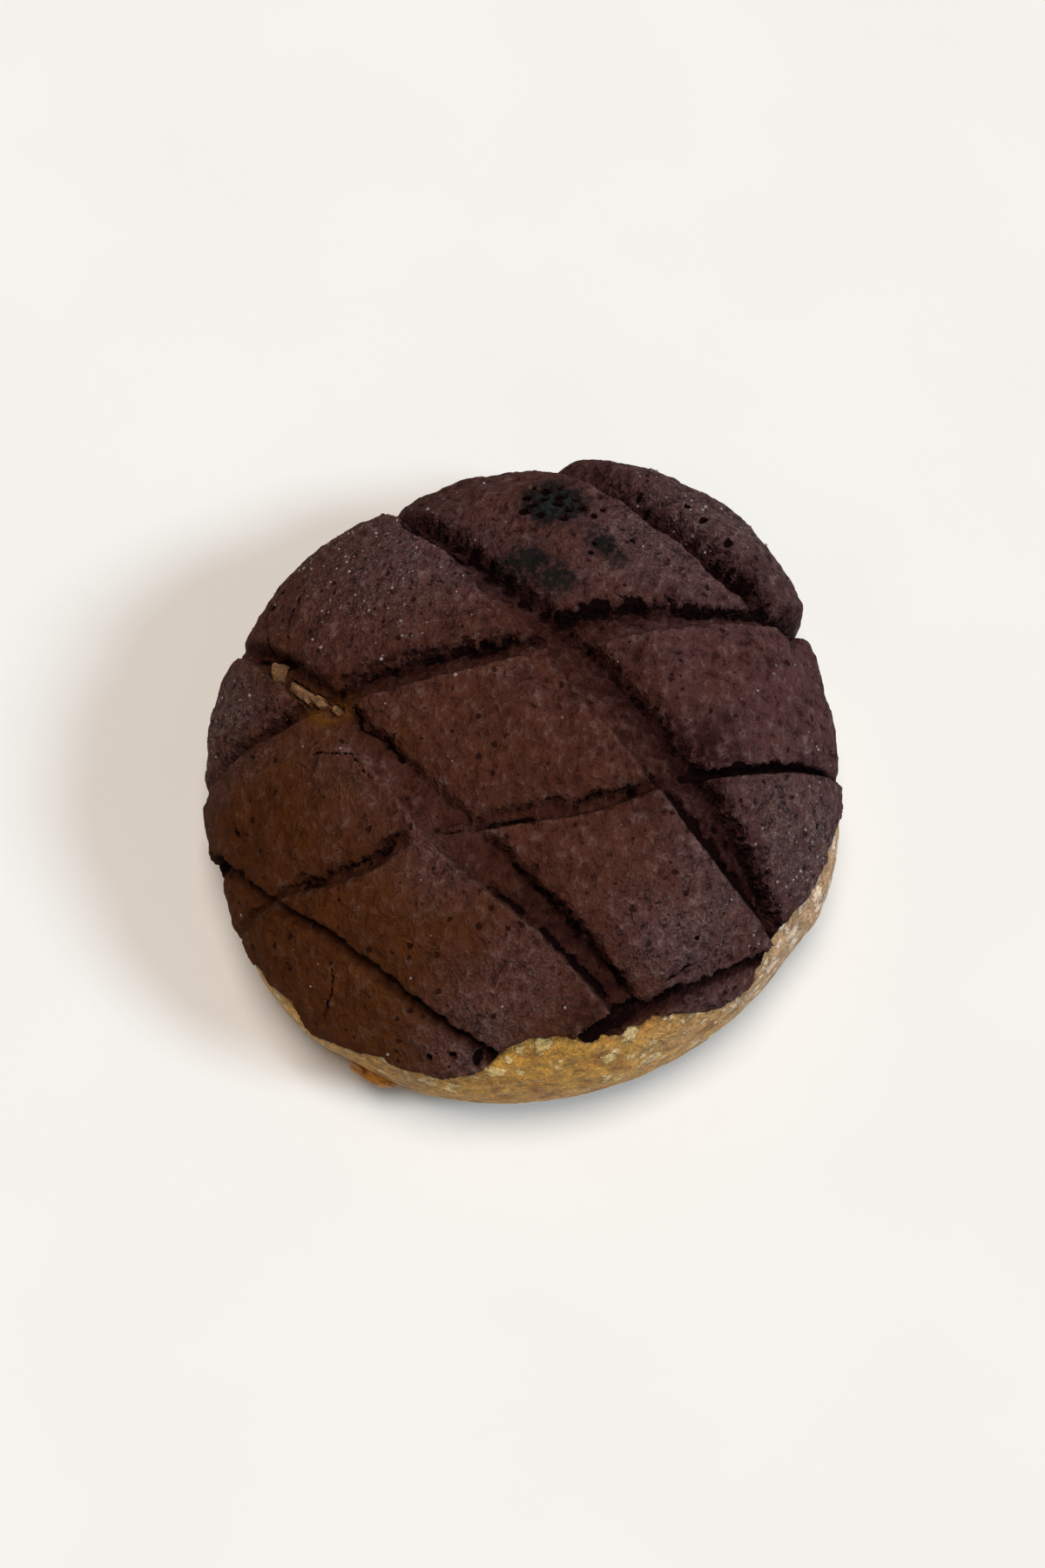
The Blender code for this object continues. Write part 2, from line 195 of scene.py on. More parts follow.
@dataclass(frozen=True)
class BunForm:
    """The plain bun, before its crust is scored."""

    waist_radius: float = 0.0524
    waist_height: float = 0.0150
    dome_rise: float = 0.0300
    keel_drop: float = 0.0240
    fullness: float = 2.35
    lobes: tuple[tuple[int, float, float], ...] = ((2, 0.026, 66.0), (3, 0.007, 64.0), (4, 0.013, 62.0))
    base_centre: Plan = (-0.0004, 0.0018)

    @property
    def middle(self) -> Triple:
        """The point that every direction starts from."""
        return (0.0, 0.0, self.waist_height)

    def radius(self, azimuth: Array) -> Array:
        """Plan radius of the widest ring in each direction."""
        swell = (share * np.cos(lobes * (azimuth - math.radians(at))) for lobes, share, at in self.lobes)
        return self.waist_radius * (1 + sum(swell))

    def seat(self, directions: Array) -> tuple[Array, Array]:
        """The plain bun's skin.

        Args:
            directions: Directions from the middle.

        Returns:
            The skin's points in those directions, and their outward normals.
        """
        azimuth = np.arctan2(directions[:, 1], directions[:, 0])
        radius = self.radius(azimuth)
        rise = np.where(directions[:, 2] > 0, self.dome_rise, self.keel_drop)
        across = np.hypot(directions[:, 0], directions[:, 1]) / radius
        up = np.abs(directions[:, 2]) / rise
        reach = (across**self.fullness + up**self.fullness) ** (-1 / self.fullness)
        outward = (across * reach) ** (self.fullness - 1) / radius
        upward = np.sign(directions[:, 2]) * (up * reach) ** (self.fullness - 1) / rise
        normals = np.column_stack((np.cos(azimuth) * outward, np.sin(azimuth) * outward, upward))
        normals /= np.linalg.norm(normals, axis=1)[:, None]
        return directions * reach[:, None] + self.middle, normals

    def beneath(self, points: Array, rounds: int = 4) -> tuple[Array, Array]:
        """The skin straight under points, along its own normals.

        Args:
            points: Points near the skin.
            rounds: How often the guess is mended.

        Returns:
            The skin's points and their outward normals.
        """
        seats, normals = self.seat(points - self.middle)
        for _ in range(rounds):
            height = ((points - seats) * normals).sum(axis=1)
            seats, normals = self.seat(points - normals * height[:, None] - self.middle)
        return seats, normals


@dataclass(frozen=True)
class Edge:
    """One edge of a score's floor, at even steps along the score's chord.

    line is its distance to the left of the chord and depth the floor's depth beside it. crack says
    how much of the edge has split open, from 0 to 1, or more where nothing holds it together, and
    gape how wide the splits are. slope is the width of the wall, swell how far the crust rises
    behind it, and ragged how far the edge wanders.
    """

    line: Profile
    depth: Profile
    crack: Profile
    gape: Profile
    slope: float
    swell: float
    ragged: float


@dataclass(frozen=True)
class NearEdge(Edge):
    """The edge that the knife drew clean, with a raised lip."""

    gape: Profile = (0.0005, 0.0005)
    slope: float = 0.0012
    swell: float = 0.0005
    ragged: float = 0.00018


@dataclass(frozen=True)
class FarEdge(Edge):
    """The edge that the rising dough pulled away, sagging and crumbly."""

    gape: Profile = (0.0006, 0.0006)
    slope: float = 0.0026
    swell: float = -0.0006
    ragged: float = 0.00060


@dataclass(frozen=True)
class Score:
    """One line scored across the crust, seen in plan.

    Its chord runs from start to end, and near and far are the two edges of its floor. crumbs says how
    crumbly the wall beyond the far edge is, shade_reach how far beyond it painted shade darkens the crust,
    murk how dark its floor is painted at the least, ridge_and_highlight how strongly the near lip is
    raised and painted with a highlight, and overrun how far the score fades out past its ends, as a share
    of the chord.
    """

    start: Plan
    end: Plan
    near: NearEdge
    far: FarEdge
    crumbs: Profile
    # How far beyond the far edge painted shade reaches.
    shade_reach: float = 0.0020
    # How dark the floor is painted at the least.
    murk: Profile = (0.0, 0.0)
    # How far the near lip is raised and painted with a highlight.
    ridge_and_highlight: float = 0.6
    overrun: float = 0.08

    def edges(self, plan: Array) -> tuple[Array, Array, Array, Array]:
        """The score's lines beside plan points.

        Args:
            plan: The points.

        Returns:
            Share along the chord, distance to its left, near edge and far edge at each point.
        """
        run = np.subtract(self.end, self.start)
        length = math.hypot(*run)
        offset = plan - np.array(self.start)
        along = offset @ run / length**2
        left = (offset[:, 1] * run[0] - offset[:, 0] * run[1]) / length
        return along, left, through(self.near.line, along), through(self.far.line, along)

    def past(self, along: Array) -> Array:
        """How far points at shares along the chord lie past its ends."""
        return np.maximum(np.abs(along - 0.5) - 0.5, 0) * math.dist(self.start, self.end)


SCORES: dict[str, Score] = {
    "middle_right": Score(
        mm(-21, 41.6), mm(40.2, -31.2),
        NearEdge(
            line=mm(0, -0.4, -0.9, -0.9, -1.2, 0), depth=mm(1.2, 0.6, 0.3, 0.4, 1, 1.4),
            crack=(1.3, 0.4, 0.0, 0.3, 1.5, 1.4), gape=mm(1.2, 0.4, 0.3, 0.6, 2.2, 1.2),
        ),
        FarEdge(
            line=mm(1.8, 3, 5, 5.6, 4.6, 1), depth=mm(2.6, 3, 2.6, 2.8, 3.2, 2.6),
            crack=(0.5, 1.0, 0.2, 0.7, 0.6, 0.9), gape=mm(0.5, 1.2, 0.7, 0.9, 0.8, 1.2), slope=0.0030,
        ),
        crumbs=(0.6, 1.0, 0.7, 0.6, 1.0, 1.0), shade_reach=0.0032, murk=(0.3, 0.1, 0.1, 0.5, 1.0, 1.0),
    ),
    "middle_left": Score(
        mm(-44.6, 18.2), mm(14, -41),
        NearEdge(
            line=mm(-0.8, -1.6, -1.8, -3.6, -1.6, -1), depth=mm(1.8, 0.8, 0.5, 1, 2, 2.2),
            crack=(0.3, 0.1, 0.0, 0.4, 1.1, 1.1), gape=mm(0.4, 0.4, 0.3, 0.5, 0.6, 0.7), slope=0.0009,
        ),
        FarEdge(
            line=mm(1, 2.2, 2.1, 2.2, 2.4, 2.2), depth=mm(2.6, 2.4, 1.5, 1.3, 2.6, 2.4),
            crack=(0.3, 0.2, 0.2, 0.2, 0.9, 0.9), gape=mm(0.5, 0.4, 0.4, 0.4, 1, 0.8),
        ),
        crumbs=(0.6, 0.4, 0.2, 0.3, 0.8, 0.9), murk=(0.2, 0.1, 0.0, 0.1, 0.6, 0.8),
    ),
    "near_left": Score(
        mm(-50, -13.8), mm(-3.6, -49.2),
        NearEdge(
            line=mm(-0.3, -2.1, -1.5, -1.5, -1.8, -0.3), depth=mm(2.2, 1.8, 1.8, 2, 2.4, 2.6),
            crack=(1.0, 0.3, 0.1, 0.3, 0.9, 1.0), gape=mm(0.7, 0.3, 0.3, 0.3, 0.6, 1.2),
            slope=0.0024, swell=-0.0004,
        ),
        FarEdge(
            line=mm(0.3, -1.5, -0.9, -0.9, -1.2, 0.3), depth=mm(2.2, 1.8, 1.8, 2, 2.4, 2.6),
            crack=(1.0, 0.6, 0.4, 0.6, 0.9, 1.0), gape=mm(0.7, 0.6, 0.6, 0.7, 0.9, 1),
            slope=0.0010, ragged=0.00025, swell=0.0005,
        ),
        crumbs=(0.5, 0.4, 0.3, 0.3, 0.5, 0.7), shade_reach=0.0018, murk=(1.0, 0.5, 0.5, 0.6, 0.9, 1.0),
        ridge_and_highlight=0.0,
    ),
    "far_right": Score(
        mm(2.6, 52.8), mm(42.8, 21.2),
        NearEdge(
            line=mm(0, -0.6, -0.8, -1.4, -1.9, -1.6), depth=mm(0.6, 1.8, 2.4, 2.6, 2.8, 2.8),
            crack=(0.1, 0.4, 0.9, 1.1, 1.4, 1.5), gape=mm(0.3, 0.4, 0.6, 0.8, 1.2, 2.4),
        ),
        FarEdge(
            line=mm(0.2, 1, 1.4, 1, 0.6, 0.4), depth=mm(0.6, 2, 2.8, 3, 3.2, 3),
            crack=(0.1, 0.2, 0.3, 0.5, 0.9, 1.2), gape=mm(0.3, 0.4, 0.4, 0.5, 1, 1.2), slope=0.0020,
        ),
        crumbs=(0.4, 0.7, 0.8, 0.9, 1.0, 1.0), overrun=0.05,
    ),
    "upper_left": Score(
        mm(-50, -3), mm(3, 15),
        NearEdge(
            line=mm(0.2, 0.8, 0.6, -0.2, -1.4, -2), depth=mm(0.8, 1, 1.2, 1.2, 1, 1),
            crack=(0.8, 0.1, 0.1, 0.2, 0.2, 0.1),
        ),
        FarEdge(
            line=mm(0.6, 2, 3.4, 3, 1.4, 0.2), depth=mm(0.8, 1.4, 2, 2.2, 2.4, 2),
            crack=(0.2, 0.2, 0.6, 0.7, 1.0, 0.7), gape=mm(0.3, 0.4, 0.9, 0.8, 1.1, 0.8),
            slope=0.0028, ragged=0.00080,
        ),
        crumbs=(0.2, 0.7, 1.0, 1.0, 0.8, 0.6), shade_reach=0.0042,
    ),
    "upper_right": Score(
        mm(5, 17.2), mm(47.2, 22),
        NearEdge(
            line=mm(-4, -2.9, -1.7, -0.8, -0.1, 0.4), depth=mm(1, 1, 1.2, 1.2, 1.4, 1),
            crack=(0.0, 0.0, 0.0, 0.1, 0.1, 0.1),
        ),
        FarEdge(
            line=mm(0.6, 1.9, 2, 1.4, 2, 4.2), depth=mm(2.2, 2.6, 2.4, 2, 2.2, 2.8),
            crack=(1.0, 1.2, 1.2, 1.0, 0.8, 0.7), gape=mm(2, 2.1, 1.9, 1.1, 0.7, 0.6),
            slope=0.0016, ragged=0.00060,
        ),
        crumbs=(0.9, 1.0, 1.0, 0.7, 0.6, 0.8), overrun=0.06,
    ),
    "lower_left": Score(
        mm(-44, -26.6), mm(-19, -17),
        NearEdge(
            line=mm(0, -0.4, -2.6, -1.8), depth=mm(0.8, 1.2, 1.4, 1.2),
            crack=(0.2, 0.5, 0.6, 0.2), slope=0.0016,
        ),
        FarEdge(
            line=mm(0.4, 0.2, -1.2, -0.2), depth=mm(1, 1.2, 1.6, 1.2),
            crack=(0.1, 0.4, 0.7, 0.7), slope=0.0016, ragged=0.00075,
        ),
        crumbs=(0.2, 0.4, 0.6, 0.4),
    ),
    "lower_middle": Score(
        mm(-12, -17), mm(21.5, -9.8),
        NearEdge(
            line=mm(0.2, -0.4, -0.9, 0.9), depth=mm(1.4, 1.6, 1.6, 1.4),
            crack=(0.7, 0.8, 0.5, 0.5), gape=mm(0.4, 0.4, 0.3, 0.3), slope=0.0010,
        ),
        FarEdge(
            line=mm(1.2, 1.4, 1, 1.8), depth=mm(0.8, 1, 1.2, 1.6),
            crack=(0.1, 0.2, 0.6, 0.8), slope=0.0014,
        ),
        crumbs=(0.3, 0.5, 0.7, 0.5),
    ),
    "lower_right": Score(
        mm(25, -7.8), mm(52, -1.2),
        NearEdge(
            line=mm(0, 0, 0, 0), depth=mm(2.2, 2.2, 2, 1.6),
            crack=(1.4, 1.3, 1.3, 1.0), slope=0.0009,
        ),
        FarEdge(
            line=mm(0.5, 0.5, 0.5, 0.4), depth=mm(2.2, 2.2, 2, 1.6),
            crack=(1.4, 1.3, 1.3, 1.0), gape=mm(0.9, 0.8, 0.7, 0.5), slope=0.0009,
        ),
        crumbs=(0.6, 0.4, 0.4, 0.4),
    ),
    "hem_side": Score(
        mm(6, -47.8), mm(41, -30.2),
        NearEdge(
            line=mm(-0.2, -0.6, -0.8, -0.2), depth=mm(3, 2.4, 2, 2),
            crack=(1.4, 0.9, 0.7, 0.6), gape=mm(1.4, 0.8, 0.6, 0.5), slope=0.0016, swell=-0.0006,
        ),
        FarEdge(
            line=mm(1, 0.6, 0.4, 0.6), depth=mm(3.4, 2.8, 2.4, 2.2),
            crack=(1.4, 1.2, 1.0, 0.8), gape=mm(1.2, 1, 0.8, 0.6), slope=0.0010, swell=0.0006,
        ),
        crumbs=(1.0, 0.9, 0.8, 0.6), murk=(1.0, 1.0), ridge_and_highlight=0.0,
    ),
}


JAG = (Lumps(0.0026, 1.0, 5), Lumps(0.0009, 0.45, 6))
MOUTH = (Lumps(0.0017, 0.9, 7), Lumps(0.0006, 0.2, 10))
MEAN_MOUTH = 0.9
MOUTH_LIMITS = (0.1, 2.2)
PATCHINESS = Lumps(0.0034, 0.75, 11)
MEAN_PATCHY = 0.80


@dataclass(frozen=True)
class Ragged:
    """How wild the crust's edges are at plan points.

    jag is how far they wander, mouth how widely their splits gape, and patchy how open those are.
    """

    jag: Array
    mouth: Array
    patchy: Array

    @classmethod
    def over(cls, plan: Array) -> "Ragged":
        """The raggedness at plan points.

        Args:
            plan: The plan points.

        Returns:
            The raggedness there.
        """
        flat = on_table(plan)
        mouth = np.clip(heaped(MOUTH, flat, MEAN_MOUTH), *MOUTH_LIMITS)
        return cls(heaped(JAG, flat), mouth, np.clip(MEAN_PATCHY + PATCHINESS.at(flat), 0, 1))


@dataclass(frozen=True)
class Crack:
    """A free crack in the crust, along plan points. width is half the width of its mouth."""

    path: tuple[Plan, ...]
    width: float
    depth: float = 0.0012
    wander: float = 0.0006

    def distance(self, plan: Array) -> Array:
        """Distance of plan points from the crack."""
        return run_distance(plan, self.path)

    def share(self, plan: Array, wild: Ragged) -> Array:
        """1 in the middle of the crack and 0 beside it."""
        wandered = plan + self.wander * np.column_stack((wild.jag, wild.patchy - 0.5))
        return np.exp(-((self.distance(wandered) / (self.width * wild.mouth)) ** 2))


CRACKS: dict[str, Crack] = {
    "far_split": Crack(route(-20, 39, -17, 36, -14.5, 33.5, -11.5, 32, -10, 31), 0.00060, 0.0014),
    "left_recess": Crack(route(-44, 17.5, -42, 16.5, -40, 15.7, -37.5, 14.5), 0.00060, 0.0012),
    "hem_gap": Crack(route(9.5, -44.5, 13.5, -42.5, 17, -41), 0.00085, 0.0014),
    "middle_cell_corner": Crack(route(-26.5, 4.5, -25.5, 1, -21.5, -1, -19, -4.5), 0.00034, 0.0016),
    "left_cell_top": Crack(route(-32, -3, -26.5, -3.5, -23.5, -7.5), 0.00018, 0.0007),
    "left_edge": Crack(route(-49, -2.5, -47, -1.5, -43.5, 0.5), 0.00030, 0.0014),
    "left_cell_slit": Crack(route(-45, -11, -44, -13.5), 0.00024),
    "left_cell_foot": Crack(route(-23.5, -20.5, -22.5, -19.5, -19.5, -17.5), 0.00030, 0.0014),
    "hem_cell_branch": Crack(route(-29, -35, -29.5, -38, -30.5, -41), 0.00018, 0.0006),
    "right_cell_low": Crack(route(21, -37.2, 23, -36, 25, -34.5), 0.00020, 0.0006),
    "far_wrinkle_low": Crack(route(-42.5, 16, -41.5, 18, -41, 23), 0.00024, 0.0008),
    "far_wrinkle_high": Crack(route(-37.5, 18, -37, 21.5, -34.5, 26), 0.00020, 0.0006),
}


@dataclass(frozen=True)
class Hollow:
    """A small round hole in the crust, seen in plan. bottom is the share of its radius that is flat."""

    at: Plan
    radius: float
    depth: float = 0.0012
    bottom: float = 0.45
    wander: float = 0.0003

    def away(self, plan: Array) -> Array:
        """Distance of plan points from the hole's middle."""
        return np.linalg.norm(plan - np.array(self.at), axis=1)

    def distance(self, plan: Array) -> Array:
        """Distance of plan points from the hole."""
        return np.maximum(self.away(plan) - self.radius, 0)

    def share(self, plan: Array, wild: Ragged) -> Array:
        """1 at the bottom of the hole and 0 beside it."""
        return 1 - smooth(self.bottom * self.radius, self.radius, self.away(plan) + self.wander * wild.jag)


def hollows(*rows: tuple[float, float, float, float]) -> tuple[Hollow, ...]:
    """Hollows from rows of place, radius and depth in millimetres."""
    return tuple(Hollow(mm(x, y), *mm(radius, depth)) for x, y, radius, depth in rows)


HOLLOWS = hollows(
    (16.5, -10, 1, 1.8), (30, -15, 0.7, 1.4), (32, -17, 0.8, 1.4), (31, -20.5, 1.1, 1.8),
    (32.5, -22.5, 0.7, 1.6), (36.5, -27, 0.8, 1.4), (26, -31, 0.6, 0.5), (-9, 31, 0.9, 1.2),
    (-6, 27.5, 0.9, 1.2), (-3, 24.5, 0.8, 1.2), (-0.5, 22.5, 1.2, 1.4), (3.5, 20.5, 0.9, 1.2),
    (11, 37.5, 0.8, 0.6), (12.5, 39, 0.6, 0.5), (11, 32, 0.6, 0.6), (10.5, 30, 0.7, 0.6),
    (17, 33, 0.6, 0.5), (20.5, 39.5, 0.7, 0.6), (25.5, 40, 0.6, 0.6), (26.5, 35, 0.9, 0.8),
    (28, 37.5, 0.6, 0.6), (32, 34, 0.8, 0.8), (31.5, 31.5, 0.8, 0.8), (35, 28.5, 1.4, 1.6),
    (36.5, 27, 1.2, 1.4), (-40.2, 25.2, 0.9, 0.8), (-41.4, 23.8, 0.5, 0.5), (-38.3, 27.6, 0.6, 0.6),
    (-36.6, 30.9, 0.7, 0.6), (-14.5, -48, 0.6, 1.2), (-11, -48, 0.9, 1.2), (-7.5, -49, 1, 1.6),
)


def scorch_pits(
    middle: Plan = (0.0043, 0.0402), reach: float = 0.0054, count: int = 15, radius: float = 0.0013
) -> tuple[Hollow, ...]:
    """The pits burnt into the scorched patch, spread over it in a slightly flattened spiral.

    Args:
        middle: The middle of the patch, in plan.
        reach: How far from it the outermost pit lies.
        count: How many pits there are.
        radius: The radius of the largest.

    Returns:
        The pits, in three sizes by turns.
    """
    golden_turn = math.pi * (3 - math.sqrt(5))
    flattening, shrinking = 0.85, 0.35
    pits = []
    for index in range(count):
        away = reach * math.sqrt((index + 0.5) / count)
        turn = index * golden_turn
        at = (middle[0] + away * math.cos(turn), middle[1] + flattening * away * math.sin(turn))
        pits.append(Hollow(at, radius * (1 - shrinking * (index % 3) / 2)))
    return tuple(pits)


FLAWS: tuple[Crack | Hollow, ...] = (*CRACKS.values(), *HOLLOWS, *scorch_pits())


@dataclass(frozen=True)
class Patch:
    """A soft-edged round patch of a tint, seen in plan."""

    at: Plan
    reach: float
    strength: float

    def share(self, plan: Array) -> Array:
        """How strong the patch is at plan points."""
        distance = np.linalg.norm(plan - np.array(self.at), axis=1)
        return self.strength * np.exp(-((distance / self.reach) ** 2))


def patches(*rows: tuple[float, float, float, float]) -> tuple[Patch, ...]:
    """Patches from rows of place and reach in millimetres, and strength."""
    return tuple(Patch(mm(x, y), *mm(reach), strength) for x, y, reach, strength in rows)


# Patches of grey dust with painted sheen over them.
DUST_AND_SHEEN = patches(
    (-21, 30, 16, 0.75), (32, 39, 14, 1.1), (18, 34, 10, 0.4), (45, -15, 13, 1.25), (25, -31, 11, 0.75),
    (-48, 7, 10, 1.3), (2, -37, 7.5, 0.45), (-8.5, -46.5, 7.5, 0.75), (28, -42, 8, 0.45),
    (-12, -20, 7, 0.4), (-24.5, -7, 5, 0.3),
)
SCORCH = patches(
    (4.6, 40, 4.8, 1.4), (12, 32.5, 2.8, 0.65), (14.5, 29, 2.6, 0.5), (0.5, 28.5, 3.6, 0.7),
    (5.5, 25, 3.4, 0.65), (-5, 27, 3, 0.4),
)
# Patches of painted shade: dark soft zones beside the scores.
PAINTED_SHADE_PATCHES = patches(
    (28.5, -3.5, 6.2, 1.25), (12.5, 9, 5, 0.9), (5, -10, 4, 0.5), (17.5, -11, 4, 0.7),
    (1.5, -26, 3.5, 0.9), (-5.5, -17.5, 3.5, 0.5), (-25.5, 11, 5, 0.55), (-39, 12, 3.5, 0.8),
    (36, 24, 3, 0.7), (22.5, 0, 3, 0.4), (11, -44, 6, 0.9), (29, -39.5, 7, 0.7), (32, -17.5, 3, 1.0),
    (34.5, -22.5, 3, 1.0), (37.5, -27.5, 3, 1.0), (35, 29, 3.5, 0.9),
)
AMBER = patches((-31, 3, 2.6, 1.1), (-28.5, 5, 2.4, 0.8), (-33.5, 5, 2, 0.6))
GRAIN_PATCHES = patches(
    (-22, 29, 12.5, 1.0), (30, 41, 11, 0.6), (45, -16, 10, 0.8), (33, -31, 8, 0.25), (12, 40, 10, 0.3),
    (-48, 7, 7, 0.5), (38, 8, 12, 0.1), (-6, -30, 14, 0.05),
)


def laid(layer: Iterable[Patch], plan: Array) -> Array:
    """The sum of a layer's patches at plan points."""
    return sum(patch.share(plan) for patch in layer)


@dataclass(frozen=True)
class Hem:
    """The crust's lower edge, by its height in each direction.

    It is low at the back and high at the front, with steps given by direction, half width and rise.
    """

    low: float = 0.0110
    high: float = 0.0310
    high_at: float = -75.0
    spread: float = 62.0
    flutter: Lumps = Lumps(0.22, 0.0008, 2, octaves=0)
    steps: tuple[Triple, ...] = (
        (-88.0, 8.0, 0.0026), (-101.0, 6.0, -0.0015), (-119.5, 6.0, 0.0015),
        (-138.0, 8.0, 0.0050), (-50.0, 9.0, -0.0028), (-20.0, 22.0, 0.0053),
    )
    ragged: Lumps = Lumps(0.055, 0.00045, 21, octaves=4)

    def clearance(self, points: Array, ragged: bool = False) -> Array:
        """Height of points above the hem in the same direction.

        Args:
            points: The points.
            ragged: Whether the hem's small notches are counted.

        Returns:
            The height of each point.
        """
        azimuth = np.arctan2(points[:, 1], points[:, 0])
        turn = (np.degrees(azimuth) - self.high_at + 180) % 360 - 180
        hem = self.low + (self.high - self.low) * np.exp(-((turn / self.spread) ** 2))
        for at, half_width, rise in self.steps:
            hem += rise * np.exp(-(((np.degrees(azimuth) - at) / half_width) ** 4))
        ring = np.column_stack((np.cos(azimuth), np.sin(azimuth), 0 * azimuth))
        hem += self.flutter.at(ring)
        if ragged:
            hem += self.ragged.at(ring)
        return points[:, 2] - hem


@dataclass(frozen=True)
class Bulges:
    """Where the bread bellies out below the hem, by direction, half width and lift of each place."""

    places: tuple[Triple, ...] = ((-17.0, 13.0, 0.0017), (-136.0, 11.0, 0.0010))
    below_hem: float = 0.0040
    foot: Span = (0.0020, 0.0090)

    def height(self, points: Array, clearance: Array) -> Array:
        """How far the bread bellies out at points with a clearance above the hem.

        Args:
            points: Points of the plain bun.
            clearance: Their heights above the hem.

        Returns:
            The height at each point.
        """
        bearing = np.degrees(np.arctan2(points[:, 1], points[:, 0]))
        shares = (lift * np.exp(-(((bearing - at) / half) ** 4)) for at, half, lift in self.places)
        return sum(shares) * smooth(0, self.below_hem, -clearance) * smooth(*self.foot, points[:, 2])


@dataclass(frozen=True)
class Chip:
    """One place where the crust has flaked off down to the bread, seen in plan."""

    start: Plan
    end: Plan
    half_width: float
    lean: float = 0.0

    def distance(self, plan: Array) -> Array:
        """Distance of plan points past the chip's straight edges, negative inside them.

        Args:
            plan: The plan points.

        Returns:
            The distance of each point.
        """
        start, end = np.array(self.start), np.array(self.end)
        half_length = np.hypot(*(end - start)) / 2 + self.half_width
        forward = (end - start) / np.hypot(*(end - start))
        offset = plan - (start + end) / 2
        along = offset @ forward / half_length
        left = offset @ np.array((-forward[1], forward[0])) / self.half_width
        return (np.abs(along + self.lean * left) + np.abs(left) - 1) * self.half_width


@dataclass(frozen=True)
class Tear:
    """The holes torn through the crust, in a row, where the bread shows."""

    chips: tuple[Chip, ...] = (
        Chip((-0.0410, 0.0145), (-0.0398, 0.0125), 0.0017, lean=0.3),
        Chip((-0.0372, 0.0104), (-0.0355, 0.0076), 0.0014, lean=-0.4),
        Chip((-0.0338, 0.0072), (-0.0320, 0.0062), 0.0012, lean=0.3),
        Chip((-0.0300, 0.0052), (-0.0294, 0.0038), 0.0010, lean=-0.3),
    )
    edge: float = 0.0004
    depth: float = 0.0065
    swell: float = 0.0026
    ragged: Lumps = Lumps(0.0018, 0.0003, 31)

    def distance(self, plan: Array) -> Array:
        """Distance of plan points past the chips' edges, negative inside them."""
        return np.minimum.reduce([chip.distance(plan) for chip in self.chips])

    def share(self, plan: Array) -> Array:
        """1 in the holes, with their ragged edges, and 0 on sound crust."""
        away = self.distance(plan) + self.ragged.at(on_table(plan))
        return 1 - smooth(-self.edge, self.edge, away)


def coordinates_of(mesh: Mesh) -> Array:
    """Vertex coordinates of a bmesh as an array."""
    return np.array([vertex.co for vertex in mesh.verts])


def place(mesh: Mesh, points: Array) -> None:
    """Moves a bmesh's vertices to points."""
    for vertex, point in zip(mesh.verts, points):
        vertex.co = point


def wiring(mesh: Mesh) -> tuple[Array, Array]:
    """How a bmesh of triangles hangs together.

    Args:
        mesh: The bmesh.

    Returns:
        The two vertices of each edge, and the three edges of each triangle.
    """
    data = bpy.data.meshes.new("wiring")
    mesh.to_mesh(data)
    ends = np.empty(2 * len(data.edges), np.int32)
    data.edges.foreach_get("vertices", ends)
    sides = np.empty(len(data.loops), np.int32)
    data.loops.foreach_get("edge_index", sides)
    bpy.data.meshes.remove(data)
    return ends.reshape(-1, 2), sides.reshape(-1, 3)


def refine(
    mesh: Mesh, form: BunForm, longest: Callable[[Array], Array], rounds: int
) -> None:
    """Halves the longest side of each triangle that is too coarse, over and over.

    In each round a triangle has one of its sides halved at most, so that it stays in triangles.

    Args:
        mesh: Triangles on the plain bun.
        form: The plain bun.
        longest: Gives the longest side allowed at points of it.
        rounds: The most times that it is done.
    """
    for _ in range(rounds):
        points, _ = form.seat(coordinates_of(mesh) - form.middle)
        place(mesh, points)
        limits = longest(points)
        ends, sides = wiring(mesh)
        lengths = np.linalg.norm(points[ends[:, 0]] - points[ends[:, 1]], axis=1)
        lengths = lengths + np.arange(len(lengths)) * TIE_BREAK
        widest = sides[np.arange(len(sides)), lengths[sides].argmax(axis=1)]
        allowed = limits[ends[sides].reshape(len(sides), 6)].min(axis=1)
        coarse = np.zeros(len(lengths), bool)
        coarse[widest[lengths[widest] > allowed]] = True
        if not coarse.any():
            break
        rivals = np.where(coarse[sides], lengths[sides], 0)
        beaten = coarse[sides] & (rivals < rivals.max(axis=1)[:, None])
        coarse[sides[beaten]] = False
        edges = [edge for edge, split in zip(mesh.edges, coarse) if split]
        bmesh.ops.subdivide_edges(mesh, edges=edges, cuts=1, use_single_edge=True)


def ball(form: BunForm) -> Mesh:
    """An icosphere about the bun's middle.

    Args:
        form: The plain bun.

    Returns:
        The icosphere as a bmesh.
    """
    mesh = bmesh.new()
    bmesh.ops.create_icosphere(mesh, subdivisions=BALL_SPLITS, radius=form.waist_height)
    bmesh.ops.translate(mesh, verts=mesh.verts, vec=form.middle)
    return mesh


def relax(mesh: Mesh, form: BunForm, rounds: int, factor: float = 0.5) -> None:
    """Evens out the triangles of a mesh on the plain bun.

    Args:
        mesh: The bmesh.
        form: The plain bun.
        rounds: How often it is done.
        factor: How far each vertex moves to the middle of its neighbours.
    """
    inner = [vertex for vertex in mesh.verts if not vertex.is_boundary]
    for _ in range(rounds):
        bmesh.ops.smooth_vert(
            mesh, verts=inner, factor=factor, use_axis_x=True, use_axis_y=True, use_axis_z=True
        )
    place(mesh, form.seat(coordinates_of(mesh) - form.middle)[0])


def open_up(mesh: Mesh, gone: Array) -> None:
    """Deletes vertices of a closed mesh so that one clean rim is left.

    Args:
        mesh: The bmesh.
        gone: Whether each vertex goes.
    """
    doomed = [vertex for vertex, going in zip(mesh.verts, gone) if going]
    while doomed:
        bmesh.ops.delete(mesh, geom=doomed, context="VERTS")
        doomed = [
            vertex for vertex in mesh.verts
            if sum(edge.is_boundary for edge in vertex.link_edges) > 2 or not vertex.link_faces
        ]


